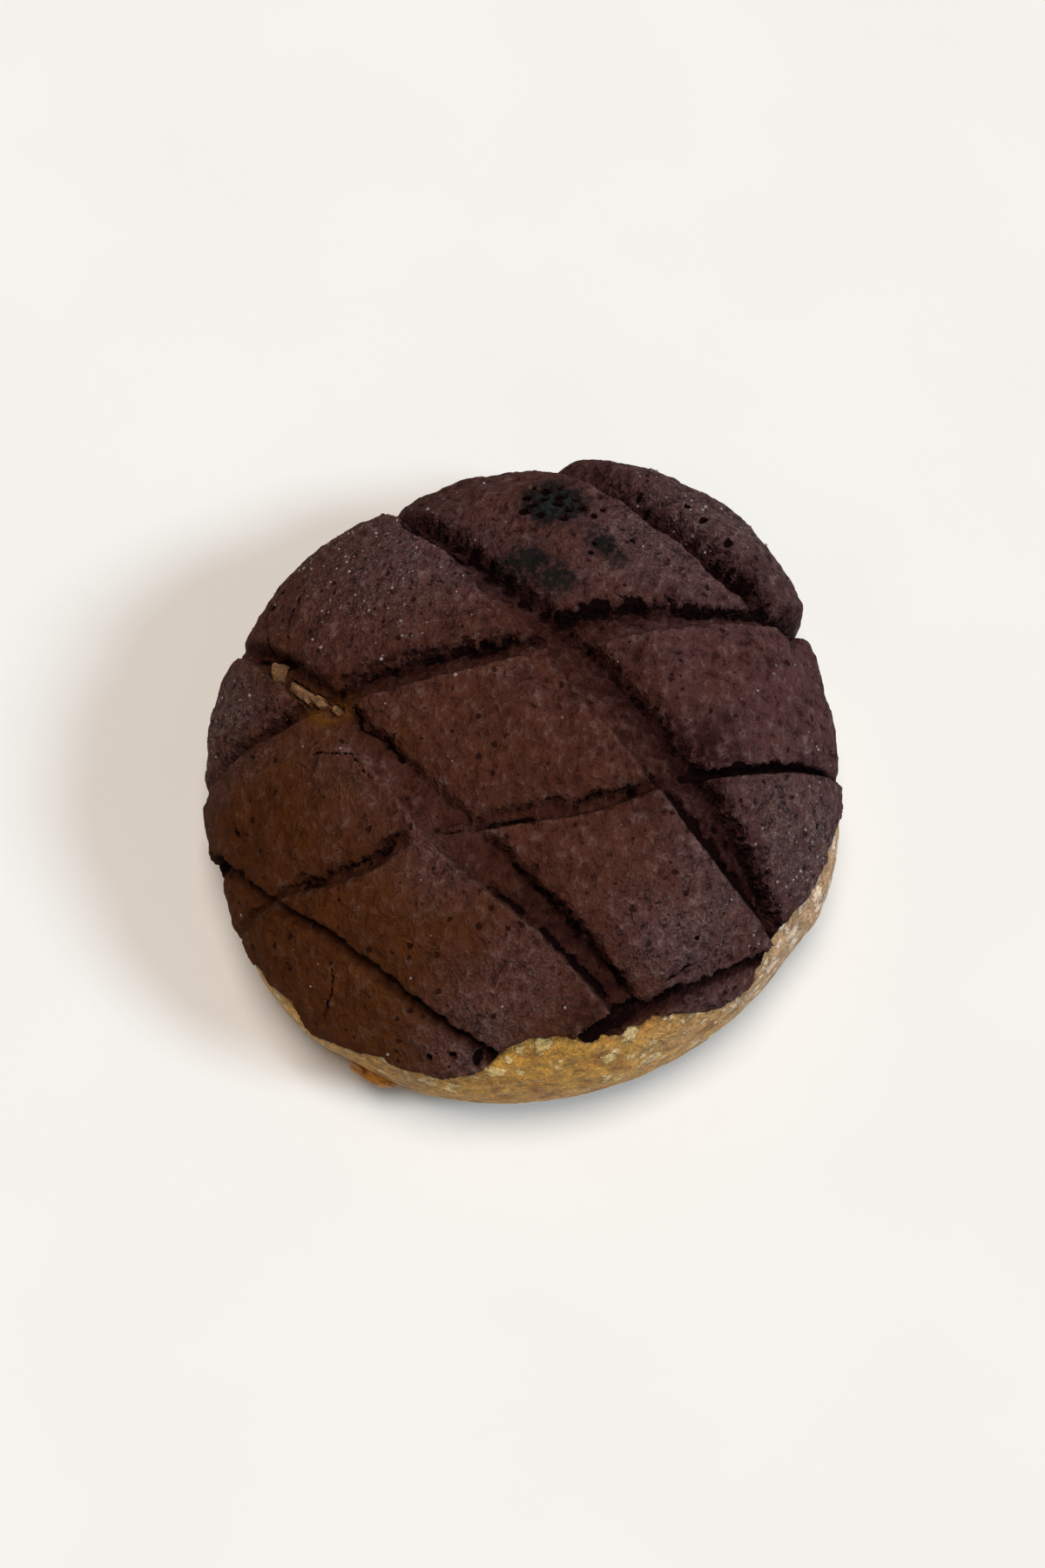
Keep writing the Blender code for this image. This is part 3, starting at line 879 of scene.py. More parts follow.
def add_piece(name: str, mesh: Mesh, form: BunForm | None = None) -> Piece:
    """Turns a bmesh into an object of the scene.

    Args:
        name: The object's name.
        mesh: The bmesh, which is freed.
        form: The plain bun that the bmesh was laid on, if it was.

    Returns:
        The object, with smooth faces.
    """
    bmesh.ops.recalc_face_normals(mesh, faces=mesh.faces)
    if form is not None:
        bmesh.ops.translate(mesh, verts=mesh.verts, vec=(-form.base_centre[0], -form.base_centre[1], 0))
    data = bpy.data.meshes.new(name)
    mesh.to_mesh(data)
    mesh.free()
    data.shade_smooth()
    piece = bpy.data.objects.new(name, data)
    bpy.context.scene.collection.objects.link(piece)
    return piece


def cut_away(piece: Piece, cutter: Piece) -> None:
    """Takes one object off another for good, and removes it.

    Args:
        piece: What is cut.
        cutter: What is taken off it.
    """
    boolean = piece.modifiers.new("seat", "BOOLEAN")
    boolean.operation = "DIFFERENCE"
    boolean.solver = "MANIFOLD"
    boolean.object = cutter
    graph = bpy.context.evaluated_depsgraph_get()
    whole = piece.data
    name = whole.name
    piece.data = bpy.data.meshes.new_from_object(piece.evaluated_get(graph))
    piece.modifiers.clear()
    bpy.data.meshes.remove(whole)
    piece.data.name = name
    seat = cutter.data
    bpy.data.objects.remove(cutter)
    bpy.data.meshes.remove(seat)


def mark(piece: Piece, marks: dict[str, Array]) -> None:
    """Stores values on a piece's vertices for its finish to read.

    Args:
        piece: The piece.
        marks: One value for each vertex, by name.
    """
    for name, values in marks.items():
        layer = piece.data.attributes.new(name, "FLOAT", "POINT")
        layer.data.foreach_set("value", np.asarray(values, np.float32))


def dress(
    piece: Piece, material: bpy.types.Material, node: str | None = None
) -> None:
    """Gives a piece its finish and its place in the frame.

    Args:
        piece: The piece.
        material: The finish.
        node: The solid that it stands for, if any.
    """
    piece.data.materials.clear()
    piece.data.materials.append(material)
    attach(piece, "root")
    if node is not None:
        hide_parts(node)
    LOG.info("%s: %d faces", piece.name, len(piece.data.polygons))


class Graph:
    """Lays out the nodes of one finish."""

    def __init__(self, name: str) -> None:
        """Starts a material with a Principled shader and object coordinates.

        Args:
            name: The material's name.
        """
        self.material = bpy.data.materials.new(name)
        self.material.use_nodes = True
        self.tree = self.material.node_tree
        self.shader = self.tree.nodes["Principled BSDF"]
        self.place = self.add("ShaderNodeTexCoord").outputs["Object"]

    def add(self, kind: str, **settings: Any) -> bpy.types.Node:
        """Adds a node.

        Args:
            kind: Its type.
            **settings: Its properties.

        Returns:
            The node.
        """
        node = self.tree.nodes.new(kind)
        for name, value in settings.items():
            setattr(node, name, value)
        return node

    def feed(self, socket: Socket, value: Any) -> None:
        """Links a socket to another, or sets its number or colour."""
        if isinstance(value, Socket):
            self.tree.links.new(value, socket)
        elif isinstance(value, tuple) and socket.type == "RGBA":
            socket.default_value = (*value, 1.0)
        else:
            socket.default_value = value

    def stretched(self, stretch: Triple) -> Socket:
        """Object coordinates, drawn out along each axis by a factor.

        Args:
            stretch: The factor along each axis.

        Returns:
            The coordinates.
        """
        node = self.add("ShaderNodeMapping")
        self.feed(node.inputs["Vector"], self.place)
        node.inputs["Scale"].default_value = tuple(1 / factor for factor in stretch)
        return node.outputs[0]

    def noise(
        self,
        size: float,
        detail: float = 2.0,
        roughness: float = 0.5,
        distortion: float = 0.0,
        stretch: Triple = (1.0, 1.0, 1.0),
    ) -> Socket:
        """Soft noise.

        Args:
            size: Size of its lumps.
            detail: How many finer sizes are added.
            roughness: How strong those are.
            distortion: How far it is swirled.
            stretch: How far it is drawn out along each axis.

        Returns:
            Its value, from 0 to 1.
        """
        node = self.add("ShaderNodeTexNoise")
        self.feed(node.inputs["Vector"], self.stretched(stretch))
        node.inputs["Scale"].default_value = 1 / size
        node.inputs["Detail"].default_value = detail
        node.inputs["Roughness"].default_value = roughness
        node.inputs["Distortion"].default_value = distortion
        return node.outputs[0]

    def cells(self, size: float) -> tuple[Socket, Socket]:
        """Scattered cells.

        Args:
            size: Mean distance between their middles.

        Returns:
            The distance as a share of size, and a value that is random for each cell.
        """
        node = self.add("ShaderNodeTexVoronoi")
        self.feed(node.inputs["Vector"], self.place)
        node.inputs["Scale"].default_value = 1 / size
        split = self.add("ShaderNodeSeparateColor")
        self.feed(split.inputs[0], node.outputs["Color"])
        return node.outputs["Distance"], split.outputs[0]

    def mark(self, name: str) -> Socket:
        """A value stored on the piece's vertices."""
        return self.add("ShaderNodeAttribute", attribute_name=name).outputs["Fac"]

    def maths(self, operation: str, *values: Any) -> Socket:
        """A sum on numbers or sockets, kept from 0 to 1 where the operation's name ends with !.

        Args:
            operation: What is done.
            *values: The numbers or sockets that it is done with.

        Returns:
            The result.
        """
        clamped = operation.endswith("!")
        node = self.add("ShaderNodeMath", operation=operation.rstrip("!"), use_clamp=clamped)
        for socket, value in zip(node.inputs, values):
            self.feed(socket, value)
        return node.outputs[0]

    def times(self, *values: Any) -> Socket:
        """The product of two numbers or sockets."""
        return self.maths("MULTIPLY", *values)

    def share(self, *values: Any) -> Socket:
        """The product of two numbers or sockets, kept from 0 to 1."""
        return self.maths("MULTIPLY!", *values)

    def plus(self, part: Any, factor: float, rest: Any) -> Socket:
        """A part times a factor, added to the rest."""
        return self.maths("MULTIPLY_ADD", part, factor, rest)

    def ease(
        self, value: Any, low: float, high: float, start: float = 0.0, end: float = 1.0
    ) -> Socket:
        """An even S curve.

        Args:
            value: What it is read at.
            low: Where it leaves start.
            high: Where it reaches end.
            start: Its first value.
            end: Its last value.

        Returns:
            The curve's value.
        """
        node = self.add("ShaderNodeMapRange", interpolation_type="SMOOTHSTEP")
        for socket, number in zip(node.inputs, (value, low, high, start, end)):
            self.feed(socket, number)
        return node.outputs[0]

    def mix(self, share: Any, under: Any, over: Any, blend: Blend = Blend.MIX) -> Socket:
        """Lays one colour over another.

        Args:
            share: How much of the upper colour shows.
            under: The lower colour.
            over: The upper colour.
            blend: How it is laid.

        Returns:
            The colour.
        """
        node = self.add("ShaderNodeMix", data_type="RGBA", blend_type=blend.value)
        for socket, value in zip(MIX_INPUTS, (share, under, over)):
            self.feed(node.inputs[socket], value)
        return node.outputs[MIX_OUTPUT]

    def coats(self, under: Any, *coats: tuple[Any, Any]) -> Socket:
        """Lays coats over a colour, one after the other, each by its share and its colour."""
        for share, over in coats:
            under = self.mix(share, under, over)
        return under

    def relief(self, height: Any) -> None:
        """Gives the shader a bump from a height in millimetres.

        Args:
            height: The height.
        """
        node = self.add("ShaderNodeBump")
        node.inputs["Distance"].default_value = MM
        self.feed(node.inputs["Height"], height)
        self.feed(self.shader.inputs["Normal"], node.outputs[0])

    def finish(self, **inputs: Any) -> bpy.types.Material:
        """Sets the shader's inputs, by names with _ for a space, and hands over the material."""
        for name, value in inputs.items():
            self.feed(self.shader.inputs[name.replace("_", " ")], value)
        return self.material


@dataclass(frozen=True)
class CrustFinish:
    """Dark cookie dough: matte, leathery, pitted, mottled and dusted grey, with painted sheen on its
    raised lumps and near lips and painted shade in its hollows, scores and cracks.
    """

    # Warm to cool tint of the dough: partly its own colour and partly painted light, cooler on the side
    # facing the lamps.
    warm: Colour = (0.067, 0.0196, 0.0046)
    even: Colour = (0.070, 0.0222, 0.0134)
    cool: Colour = (0.075, 0.0300, 0.0285)
    # Painted sheen on raised lumps and painted highlight on the near lips.
    sheen: Colour = (0.260, 0.170, 0.145)
    # Grey dust with painted sheen over it.
    dust_and_sheen: Colour = (0.175, 0.126, 0.124)
    sugar: Colour = (0.270, 0.205, 0.185)
    # Painted shade in the lumps' hollows, wrinkles, crumbly gaps and pits.
    low: Colour = (0.014, 0.0036, 0.0030)
    # Painted shade on and beside the scores' floors and round the cracks.
    floor: Colour = (0.016, 0.0038, 0.0032)
    # Near-black painted shadow inside cracks, holes and pores.
    split: Colour = (0.0060, 0.0016, 0.0016)
    scorch: Colour = (0.0120, 0.0098, 0.0086)
    ash: Colour = (0.0165, 0.0178, 0.0180)
    amber: Colour = (0.105, 0.036, 0.0050)
    roughness: float = 0.85
    specular: float = 0.03

    def make(self) -> bpy.types.Material:
        """Makes the material: colour from the dough up to sugar and scorch, then the relief.

        Returns:
            The material.
        """
        g = Graph("cookie_crust_baked")
        lumps = g.noise(0.0017, 3.0, 0.60, 0.35, (0.9, 1.15, 1.1))
        grain = g.noise(0.00045, 2.0, 0.6)
        texture = g.plus(grain, 0.22, g.times(lumps, 0.78))
        fold, places = self.folds(g)
        warmth = g.maths("ADD!", g.mark("warm"), g.ease(g.noise(0.009), 0.3, 0.7, -0.12, 0.12))
        dust_and_sheen = g.mark("dust_and_sheen")
        # How strongly the lumps stand up and are painted: painted shade in their hollows, painted sheen on
        # their tops.
        relief_and_painted_light = g.plus(dust_and_sheen, 0.55, g.ease(warmth, 0.15, 0.95, 0.80, 0.34))
        pits = self.pits(g)
        gap = g.times(g.mark("crumbs"), g.ease(g.noise(0.0013, 2.0, 0.5, 0.2), 0.54, 0.60))
        sugared = self.sugared(g, g.mark("sugary"))
        # The cracks' mark, broken up by noise; where it is high, the crack is painted with near-black
        # shadow.
        worn = g.plus(g.noise(0.0012, 3.0, 0.55, 0.15), 1.5, g.maths("SUBTRACT", g.mark("split"), 0.75))
        split = g.ease(worn, 0.54, 0.68)
        colour = g.mix(g.ease(warmth, 0.0, 0.5), self.cool, self.even)
        colour = g.mix(g.ease(warmth, 0.5, 1.0), colour, self.warm)
        colour = g.mix(1.0, colour, g.ease(g.noise(0.0052, 2.0), 0.25, 0.75, 0.88, 1.12), Blend.MULTIPLY)
        # Grey dust with painted sheen, broken up into specks.
        dusty = g.ease(g.noise(0.00046, 3.0, 0.75), 0.48, 0.66, 0.10, 0.85)
        dust_and_sheen_share = g.times(dust_and_sheen, g.times(dusty, g.ease(places, 0.3, 0.6, 0.4, 1.0)))
        # Painted shade beside the scores, broken up by noise.
        shade = g.times(g.mark("shade"), g.ease(g.noise(0.0017, 3.0, 0.6), 0.36, 0.60, 0.20, 1.0))
        scorch = g.times(g.mark("scorch"), g.ease(g.noise(0.0012, 3.0), 0.3, 0.65, 0.5, 1.15))
        colour = g.coats(
            colour,
            # Painted shade in the lumps' hollows, then painted sheen on their tops.
            (g.share(g.times(relief_and_painted_light, g.ease(texture, 0.47, 0.37)), 0.85), self.low),
            (g.share(g.times(relief_and_painted_light, g.ease(texture, 0.50, 0.72)), 0.45), self.sheen),
            # Painted shade in the wrinkles.
            (g.times(fold, 0.30), self.low),
            (g.maths("MINIMUM", dust_and_sheen_share, 0.9), self.dust_and_sheen),
            # Painted highlight along the raised near lips.
            (g.times(g.mark("ridge_and_highlight"), g.ease(lumps, 0.40, 0.62, 0.0, 0.22)), self.sheen),
            # Painted shade beside the scores.
            (g.times(shade, 0.80), self.floor),
            # Painted shade on the scores' floors.
            (g.times(g.mark("floor"), g.ease(lumps, 0.30, 0.65, 1.0, 0.70)), self.floor),
            # Painted shade in the crumbly gaps and in the pits.
            (g.share(gap, 0.9), self.low),
            (g.times(pits, 0.85), self.low),
            (sugared, self.sugar),
            (g.ease(scorch, 0.10, 0.62), self.scorch),
            (g.ease(scorch, 0.80, 1.05), self.ash),
            (g.times(g.mark("amber"), g.ease(g.noise(0.0016, 3.0), 0.3, 0.65, 0.25, 1.0)), self.amber),
            # Painted shade round the cracks, then near-black painted shadow inside them.
            (g.ease(g.mark("split"), 0.15, 0.75, 0.0, 0.7), self.floor),
            (split, self.split),
        )
        height = g.times(lumps, g.plus(relief_and_painted_light, 1.60, 0.35))
        for part, rise in (
            (grain, 0.16), (fold, -0.14), (pits, -0.25), (gap, -0.35), (sugared, 0.10), (split, -0.45)
        ):
            height = g.plus(part, rise, height)
        g.relief(height)
        return g.finish(Base_Color=colour, Roughness=self.roughness, Specular_IOR_Level=self.specular)

    def folds(self, g: Graph) -> tuple[Socket, Socket]:
        """Short upright wrinkles, here and there.

        Args:
            g: The finish's graph.

        Returns:
            1 in a wrinkle and 0 outside it, and where they lie close together.
        """
        swirl = g.noise(0.0024, 2.0, 0.5, 0.5, (0.9, 1.3, 1.2))
        crease = g.ease(g.maths("ABSOLUTE", g.maths("SUBTRACT", swirl, 0.5)), 0.0, 0.060, 1.0, 0.0)
        places = g.noise(0.0060, 3.0, 0.6)
        return g.times(crease, g.ease(places, 0.44, 0.62)), places

    def pits(self, g: Graph) -> Socket:
        """Small irregular pits of many sizes.

        Args:
            g: The finish's graph.

        Returns:
            1 in a pit and 0 outside it.
        """
        away, kind = g.cells(0.0021)
        away = g.maths("ADD", away, g.ease(g.noise(0.0007, 2.0), 0.2, 0.8, -0.13, 0.13))
        reach = g.ease(kind, 0.40, 1.0, 0.01, 0.27)
        return g.ease(g.maths("SUBTRACT!", 1.0, g.maths("DIVIDE", away, reach)), 0.0, 0.4)

    def sugared(self, g: Graph, share: Socket) -> Socket:
        """Tiny specks of sugar.

        Args:
            g: The finish's graph.
            share: How thickly they lie.

        Returns:
            1 on a speck and 0 beside it.
        """
        away, kind = g.cells(0.00095)
        chosen = g.ease(g.plus(share, 0.42, kind), 0.93, 1.20)
        reach = g.plus(chosen, 0.22, 0.02)
        return g.times(chosen, g.ease(g.maths("DIVIDE", away, reach), 0.55, 1.0, 1.0, 0.0))


@dataclass(frozen=True)
class BreadFinish:
    """Soft baked bread: golden on one side, creamy on the other, with pale floury flakes."""

    golden: Colour = (0.430, 0.215, 0.034)
    cream: Colour = (0.410, 0.240, 0.125)
    flour: Colour = (0.620, 0.435, 0.170)
    chalk: Colour = (0.640, 0.480, 0.350)
    brown: Colour = (0.290, 0.120, 0.022)
    torn: Colour = (0.200, 0.098, 0.042)
    roughness: float = 0.62
    specular: float = 0.25

    def make(self) -> bpy.types.Material:
        """Makes the material.

        Returns:
            The material.
        """
        g = Graph("bread_baked")
        paleness = g.maths("ADD!", g.mark("pale"), g.ease(g.noise(0.007), 0.3, 0.7, -0.15, 0.15))
        skin = g.noise(0.0020, 4.0, 0.65, 0.5, (1.1, 1.1, 0.9))
        grain = g.noise(0.00045, 2.0, 0.7)
        blotches = g.noise(0.0046, 4.0, 0.60, 0.6)
        flakes = self.flakes(g)
        colour = g.coats(
            g.mix(paleness, self.golden, self.cream),
            (g.ease(blotches, 0.50, 0.66, 0.0, 0.85), self.brown),
            (g.times(flakes, g.ease(skin, 0.3, 0.6, 0.65, 1.0)), g.mix(paleness, self.flour, self.chalk)),
            (g.mark("underside"), self.brown),
            (g.mark("torn"), self.torn),
        )
        light = g.times(g.ease(skin, 0.25, 0.75, 0.52, 1.46), g.ease(grain, 0.25, 0.75, 0.66, 1.34))
        colour = g.mix(1.0, colour, light, Blend.MULTIPLY)
        g.relief(g.plus(flakes, 0.35, g.plus(grain, 0.16, g.times(skin, 0.70))))
        return g.finish(
            Base_Color=colour,
            Roughness=self.roughness,
            Specular_IOR_Level=self.specular,
            Subsurface_Weight=0.12,
            Subsurface_Radius=(1.0, 0.6, 0.3),
            Subsurface_Scale=0.0015,
        )

    def flakes(self, g: Graph) -> Socket:
        """Raised pale flakes of dough of several sizes.

        Args:
            g: The finish's graph.

        Returns:
            1 on a flake and 0 beside it.
        """
        chances = g.mark("flour")
        edge = g.ease(g.noise(0.0011, 3.0, 0.65), 0.2, 0.8, -0.30, 0.30)
        shown = 0.0
        for apart, reach in ((0.0034, 0.46), (0.0017, 0.42)):
            away, kind = g.cells(apart)
            chosen = g.maths("GREATER_THAN", g.maths("ADD", kind, chances), 1.0)
            flake = g.ease(g.maths("ADD", away, edge), reach - 0.08, reach + 0.08, 1.0, 0.0)
            shown = g.maths("MAXIMUM", shown, g.times(chosen, flake))
        return shown


@dataclass(frozen=True)
class BeadFinish:
    """Burnt sugar: glossy amber, darker where it is thick."""

    thin: Colour = (0.37, 0.14, 0.012)
    thick: Colour = (0.15, 0.042, 0.003)
    roughness: float = 0.45

    def make(self) -> bpy.types.Material:
        """Makes the material.

        Returns:
            The material.
        """
        g = Graph("burnt_sugar")
        body = g.noise(0.0022, 3.0, 0.6, 0.6)
        colour = g.mix(g.ease(body, 0.30, 0.68), self.thick, self.thin)
        g.relief(g.times(g.noise(0.0009, 3.0), 0.12))
        return g.finish(Base_Color=colour, Roughness=self.roughness, Specular_IOR_Level=0.2)


@dataclass(frozen=True)
class GrainFinish:
    """Sugar grains: clear to milky, dulled by the oven."""

    milky: Colour = (0.30, 0.23, 0.21)
    dull: Colour = (0.15, 0.10, 0.090)
    roughness: float = 0.35

    def make(self) -> bpy.types.Material:
        """Makes the material.

        Returns:
            The material.
        """
        g = Graph("sugar_grains")
        colour = g.mix(g.ease(g.noise(0.0014, 2.0), 0.35, 0.65), self.dull, self.milky)
        return g.finish(Base_Color=colour, Roughness=self.roughness)


@dataclass(frozen=True)
class FloorFinish:
    """A plain pale table."""

    pale: Colour = (0.905, 0.896, 0.863)
    worn: Colour = (0.885, 0.876, 0.843)
    roughness: float = 0.9

    def make(self) -> bpy.types.Material:
        """Makes the material.

        Returns:
            The material.
        """
        g = Graph("pale_table")
        colour = g.mix(g.ease(g.noise(0.05, 3.0), 0.3, 0.7), self.pale, self.worn)
        return g.finish(Base_Color=colour, Roughness=self.roughness, Specular_IOR_Level=0.0)


@dataclass
class CookieCrust:
    """The scored cookie crust, a shell that is hollowed with the bread's own skin.

    seat is how deep its inside lies below the plain bun, gap the room left round the bread, and
    least the thinnest that it may get. pillow_height and pillow_reach round off the cells between
    the scores, and the hem ends in a rounded edge that is buried in the bread. crispness narrows the
    walls of the scores, band_edge softens the sides of their splits, and unheld opens the edges that
    nothing holds together. leathery says how closely the wrinkles lie along each axis, and calm how
    much farther off an edge that hasn't split counts when the triangles are sized.
    """

    form: BunForm
    hem: Hem
    tear: Tear
    bulges: Bulges = field(default_factory=Bulges)
    finish: CrustFinish = field(default_factory=CrustFinish)
    # The seat on the bread, the hem and the plain face
    seat: float = 0.0044
    gap: float = 0.0003
    least: float = 0.0009
    pillow_height: float = 0.0011
    pillow_reach: float = 0.0060
    hem_burial: float = 0.0050
    hem_skirt: float = 0.0040
    hem_rounding: float = 0.0012
    proud_lift: float = 0.0026
    proud_reach: float = 0.0028
    band_inset: float = 0.0009
    seat_blend: Span = (-0.0010, 0.0030)
    # The scores and their splits
    score_fade: float = 0.02
    crispness: float = 0.65
    least_floor: float = 0.0002
    wall_foot: float = 0.0010
    wall_top: Span = (0.6, 1.8)
    darkest_depth: float = 0.0028
    band_edge: float = 0.00040
    unheld: float = 0.8
    widest_split: float = 1.15
    crack_depth: float = 0.0009
    crack_onset: Span = (0.3, 0.8)
    ridge_inset: float = 0.0004
    ridge_width: float = 0.0006
    ridge_height: float = 0.00016
    # Unevenness and pores
    swells: tuple[Lumps, ...] = (Lumps(0.016, 0.0007, 1, octaves=0), Lumps(0.006, 0.0003, 4, octaves=0))
    lumps: Lumps = Lumps(0.0042, 0.00042, 9)
    wrinkles: Lumps = Lumps(0.0015, 0.00018, 13)
    crumbling: Lumps = Lumps(0.0014, 0.00030, 12)
    floor_crumbs: float = 0.5
    leathery: Triple = (1.25, 0.6, 0.7)
    pore_apart: float = 0.0019
    pore_seed: int = 8
    pore_edge: Span = (0.45, 0.20)
    pore_depth: float = 0.0008
    pore_mark: float = 0.9
    # The finish's marks
    # Towards this side the tint turns cool, partly painted light from the lamps.
    warm_side: Plan = (0.75, 0.55)
    warm_swing: float = 0.62
    # How far grey dust and painted sheen cool the warm tint.
    dust_and_sheen_chill: float = 0.45
    shade_wipe: float = 0.7
    amber_reach: float = 0.0016
    amber_share: float = 0.3
    # The sides of the triangles
    calm: float = 0.0012
    finest_edge: float = 0.00044
    finest_reach: float = 0.0006
    fine_growth: float = 0.22
    wall_edge: float = 0.00060
    wall_growth: float = 0.16
    plain_edge: float = 0.00092
    buried_edge: float = 0.0035
    buried_from: float = 0.0016
    buried_growth: float = 2.0
    seat_hem_edge: float = 0.0010
    seat_tear_edge: float = 0.0005
    seat_growth: float = 0.5
    rounds: int = 40

    def bread_inset(self, points: Array) -> Array:
        """Depth of the bread's skin below the plain bun: pressed in wherever the crust sits.

        Args:
            points: Points of the plain bun.

        Returns:
            The depth at each point.
        """
        clearance = self.hem.clearance(points)
        seated = smooth(*self.seat_blend, clearance)
        swell = self.tear.swell * self.tear.share(points[:, :2]) * (points[:, 2] > self.form.waist_height)
        swell += self.bulges.height(points, clearance)
        return self.band_inset + (self.seat - self.band_inset) * seated - swell

    def score_distance(self, plan: Array) -> Array:
        """Distance of plan points from the nearest score's floor.

        Args:
            plan: The plan points.

        Returns:
            The distance of each point.
        """
        nearest = np.full(len(plan), self.form.waist_radius)
        for score in SCORES.values():
            along, left, near, far = score.edges(plan)
            beside = np.maximum(np.maximum(near - left, left - far), 0)
            nearest = np.minimum(nearest, np.hypot(beside, score.past(along)))
        return nearest

    def flaw_distance(self, plan: Array) -> Array:
        """Distance of plan points from the nearest flaw, hole of the tear or edge of a score's floor.

        Args:
            plan: The plan points.

        Returns:
            The distance of each point.
        """
        nearest = np.full(len(plan), self.form.waist_radius)
        for score in SCORES.values():
            along, left, near, far = score.edges(plan)
            by_near = np.abs(left - near) + self.calm * (1 - through(score.near.crack, along))
            by_far = np.abs(left - far) + self.calm * (1 - through(score.far.crack, along))
            nearest = np.minimum(nearest, np.hypot(np.minimum(by_near, by_far), score.past(along)))
        for flaw in FLAWS:
            nearest = np.minimum(nearest, flaw.distance(plan))
        return np.minimum(nearest, np.maximum(self.tear.distance(plan) - self.tear.edge, 0))

    def longest(self, points: Array) -> Array:
        """Longest side that a triangle of the crust may have at points of the plain bun.

        Args:
            points: Points of the plain bun.

        Returns:
            The length at each point.
        """
        plan = points[:, :2]
        limit = np.minimum(self.wall_edge + self.wall_growth * self.score_distance(plan), self.plain_edge)
        plain = np.maximum(self.flaw_distance(plan) - self.finest_reach, 0)
        limit = np.minimum(limit, self.finest_edge + self.fine_growth * plain)
        buried = np.maximum(-self.hem.clearance(points) - self.buried_from, 0)
        return np.minimum(limit + self.buried_growth * buried, self.buried_edge)

    def splits(self, edge: Edge, beside: Array, along: Array, wild: Ragged) -> Array:
        """How far a score's edge has split open.

        Args:
            edge: The edge.
            beside: Distance of the points to the left of it.
            along: Share along the score's chord.
            wild: How ragged the crust is there.

        Returns:
            0 where the crust holds, and up to a little over 1 in the middle of a split.
        """
        half = through(edge.gape, along) * wild.mouth / 2
        seam = 1 - np.minimum(np.abs(beside - half) / (half + self.band_edge), 1) ** 2
        crack = through(edge.crack, along)
        opened = crack * wild.patchy + self.unheld * np.maximum(crack - 1, 0)
        return seam * np.clip(opened, 0, self.widest_split)

    def scored(self, score: Score, plan: Array, wild: Ragged) -> dict[str, Array]:
        """What one score does to the crust's face.

        Args:
            score: The score.
            plan: Plan points.
            wild: How ragged the crust is there.

        Returns:
            cut, how deep it goes, banks, how far the crust rises beside it, and the score's marks.
        """
        along, left, near, far = score.edges(plan)
        near = near + wild.jag * score.near.ragged
        far = np.maximum(far + wild.jag * score.far.ragged, near + self.least_floor)
        near_slope = score.near.slope * self.crispness
        far_slope = score.far.slope * self.crispness
        reach = smooth(-score.overrun, self.score_fade, along)
        reach = reach * (1 - smooth(1 - self.score_fade, 1 + score.overrun, along))
        share = np.clip((left - near) / (far - near), 0, 1)
        depth = (1 - share) * through(score.near.depth, along) + share * through(score.far.depth, along)
        inside = smooth(near - near_slope, near, left) * (1 - smooth(far, far + far_slope, left))
        near_split = self.splits(score.near, left - near, along, wild)
        far_split = self.splits(score.far, left - far, along, wild)
        lines = np.maximum(near_split, far_split) * reach
        lip = score.near.swell * np.exp(-np.abs(near - left) / self.pillow_reach) * (left < near)
        sag = score.far.swell * np.exp(-np.abs(left - far) / self.pillow_reach) * (left > far)
        wall = smooth(far - self.wall_foot, far, left)
        low, high = self.wall_top
        wall = wall * (1 - smooth(far + low * far_slope, far + high * far_slope, left))
        crumbly = np.clip(through(score.crumbs, along), 0, 1) * reach
        # Painted shade that darkens the crust beyond the far edge.
        beyond = np.exp(-np.maximum(left - far, 0) / score.shade_reach)
        shaded = smooth(far - score.shade_reach, far, left) * beyond
        # Painted shade on the floor: darker the deeper it lies, and never lighter than murk.
        gloom = np.maximum(np.clip(depth / self.darkest_depth, 0, 1), through(score.murk, along))
        # The near lip's raised crest, which also gets a painted highlight.
        crest = np.exp(-(((left - near + self.ridge_inset) / self.ridge_width) ** 2))
        return {
            "cut": depth * inside * reach + self.crack_depth * smooth(*self.crack_onset, lines),
            "banks": (lip + sag) * reach,
            "floor": gloom * inside * reach,
            "split": lines,
            "crumbs": wall * crumbly,
            "shade": shaded * crumbly,
            "ridge_and_highlight": score.ridge_and_highlight * crest * reach,
        }

    def proud(self, plan: Array) -> Array:
        """1 on the raised cell at the far right and 0 outside it.

        Args:
            plan: The plan points.

        Returns:
            The share at each point.
        """
        _, left, _, far = SCORES["far_right"].edges(plan)
        _, above, _, below = SCORES["upper_right"].edges(plan)
        return smooth(0, self.proud_reach, left - far) * smooth(0, self.proud_reach, above - below)

    def relief(self, points: Array, banks: Array, marks: dict[str, Array]) -> Array:
        """The face's height over the plain bun.

        Args:
            points: Points of the plain bun.
            banks: How far the crust rises beside the scores.
            marks: The marks of the scores, flaws and pores, and cut, how deep they go.

        Returns:
            The height at each point.
        """
        plan = points[:, :2]
        relief = self.pillow_height * (1 - np.exp(-self.score_distance(plan) / self.pillow_reach)) + banks
        relief += self.proud_lift * self.proud(plan)
        relief += heaped(self.swells, points)
        relief += self.lumps.at(points)
        relief += self.wrinkles.at(points * self.leathery)
        crumbly = np.maximum(marks["crumbs"], self.floor_crumbs * marks["floor"])
        relief += self.crumbling.at(points) * crumbly
        relief += self.ridge_height * marks["ridge_and_highlight"]
        relief -= marks["cut"] + self.pore_depth * marks["pores"]
        relief = np.maximum(relief, self.least + self.gap - self.bread_inset(points))
        relief -= self.tear.depth * self.tear.share(plan)
        sound = smooth(-self.hem_rounding, 0, self.hem.clearance(points, ragged=True))
        return relief * sound - self.hem_burial * (1 - sound)

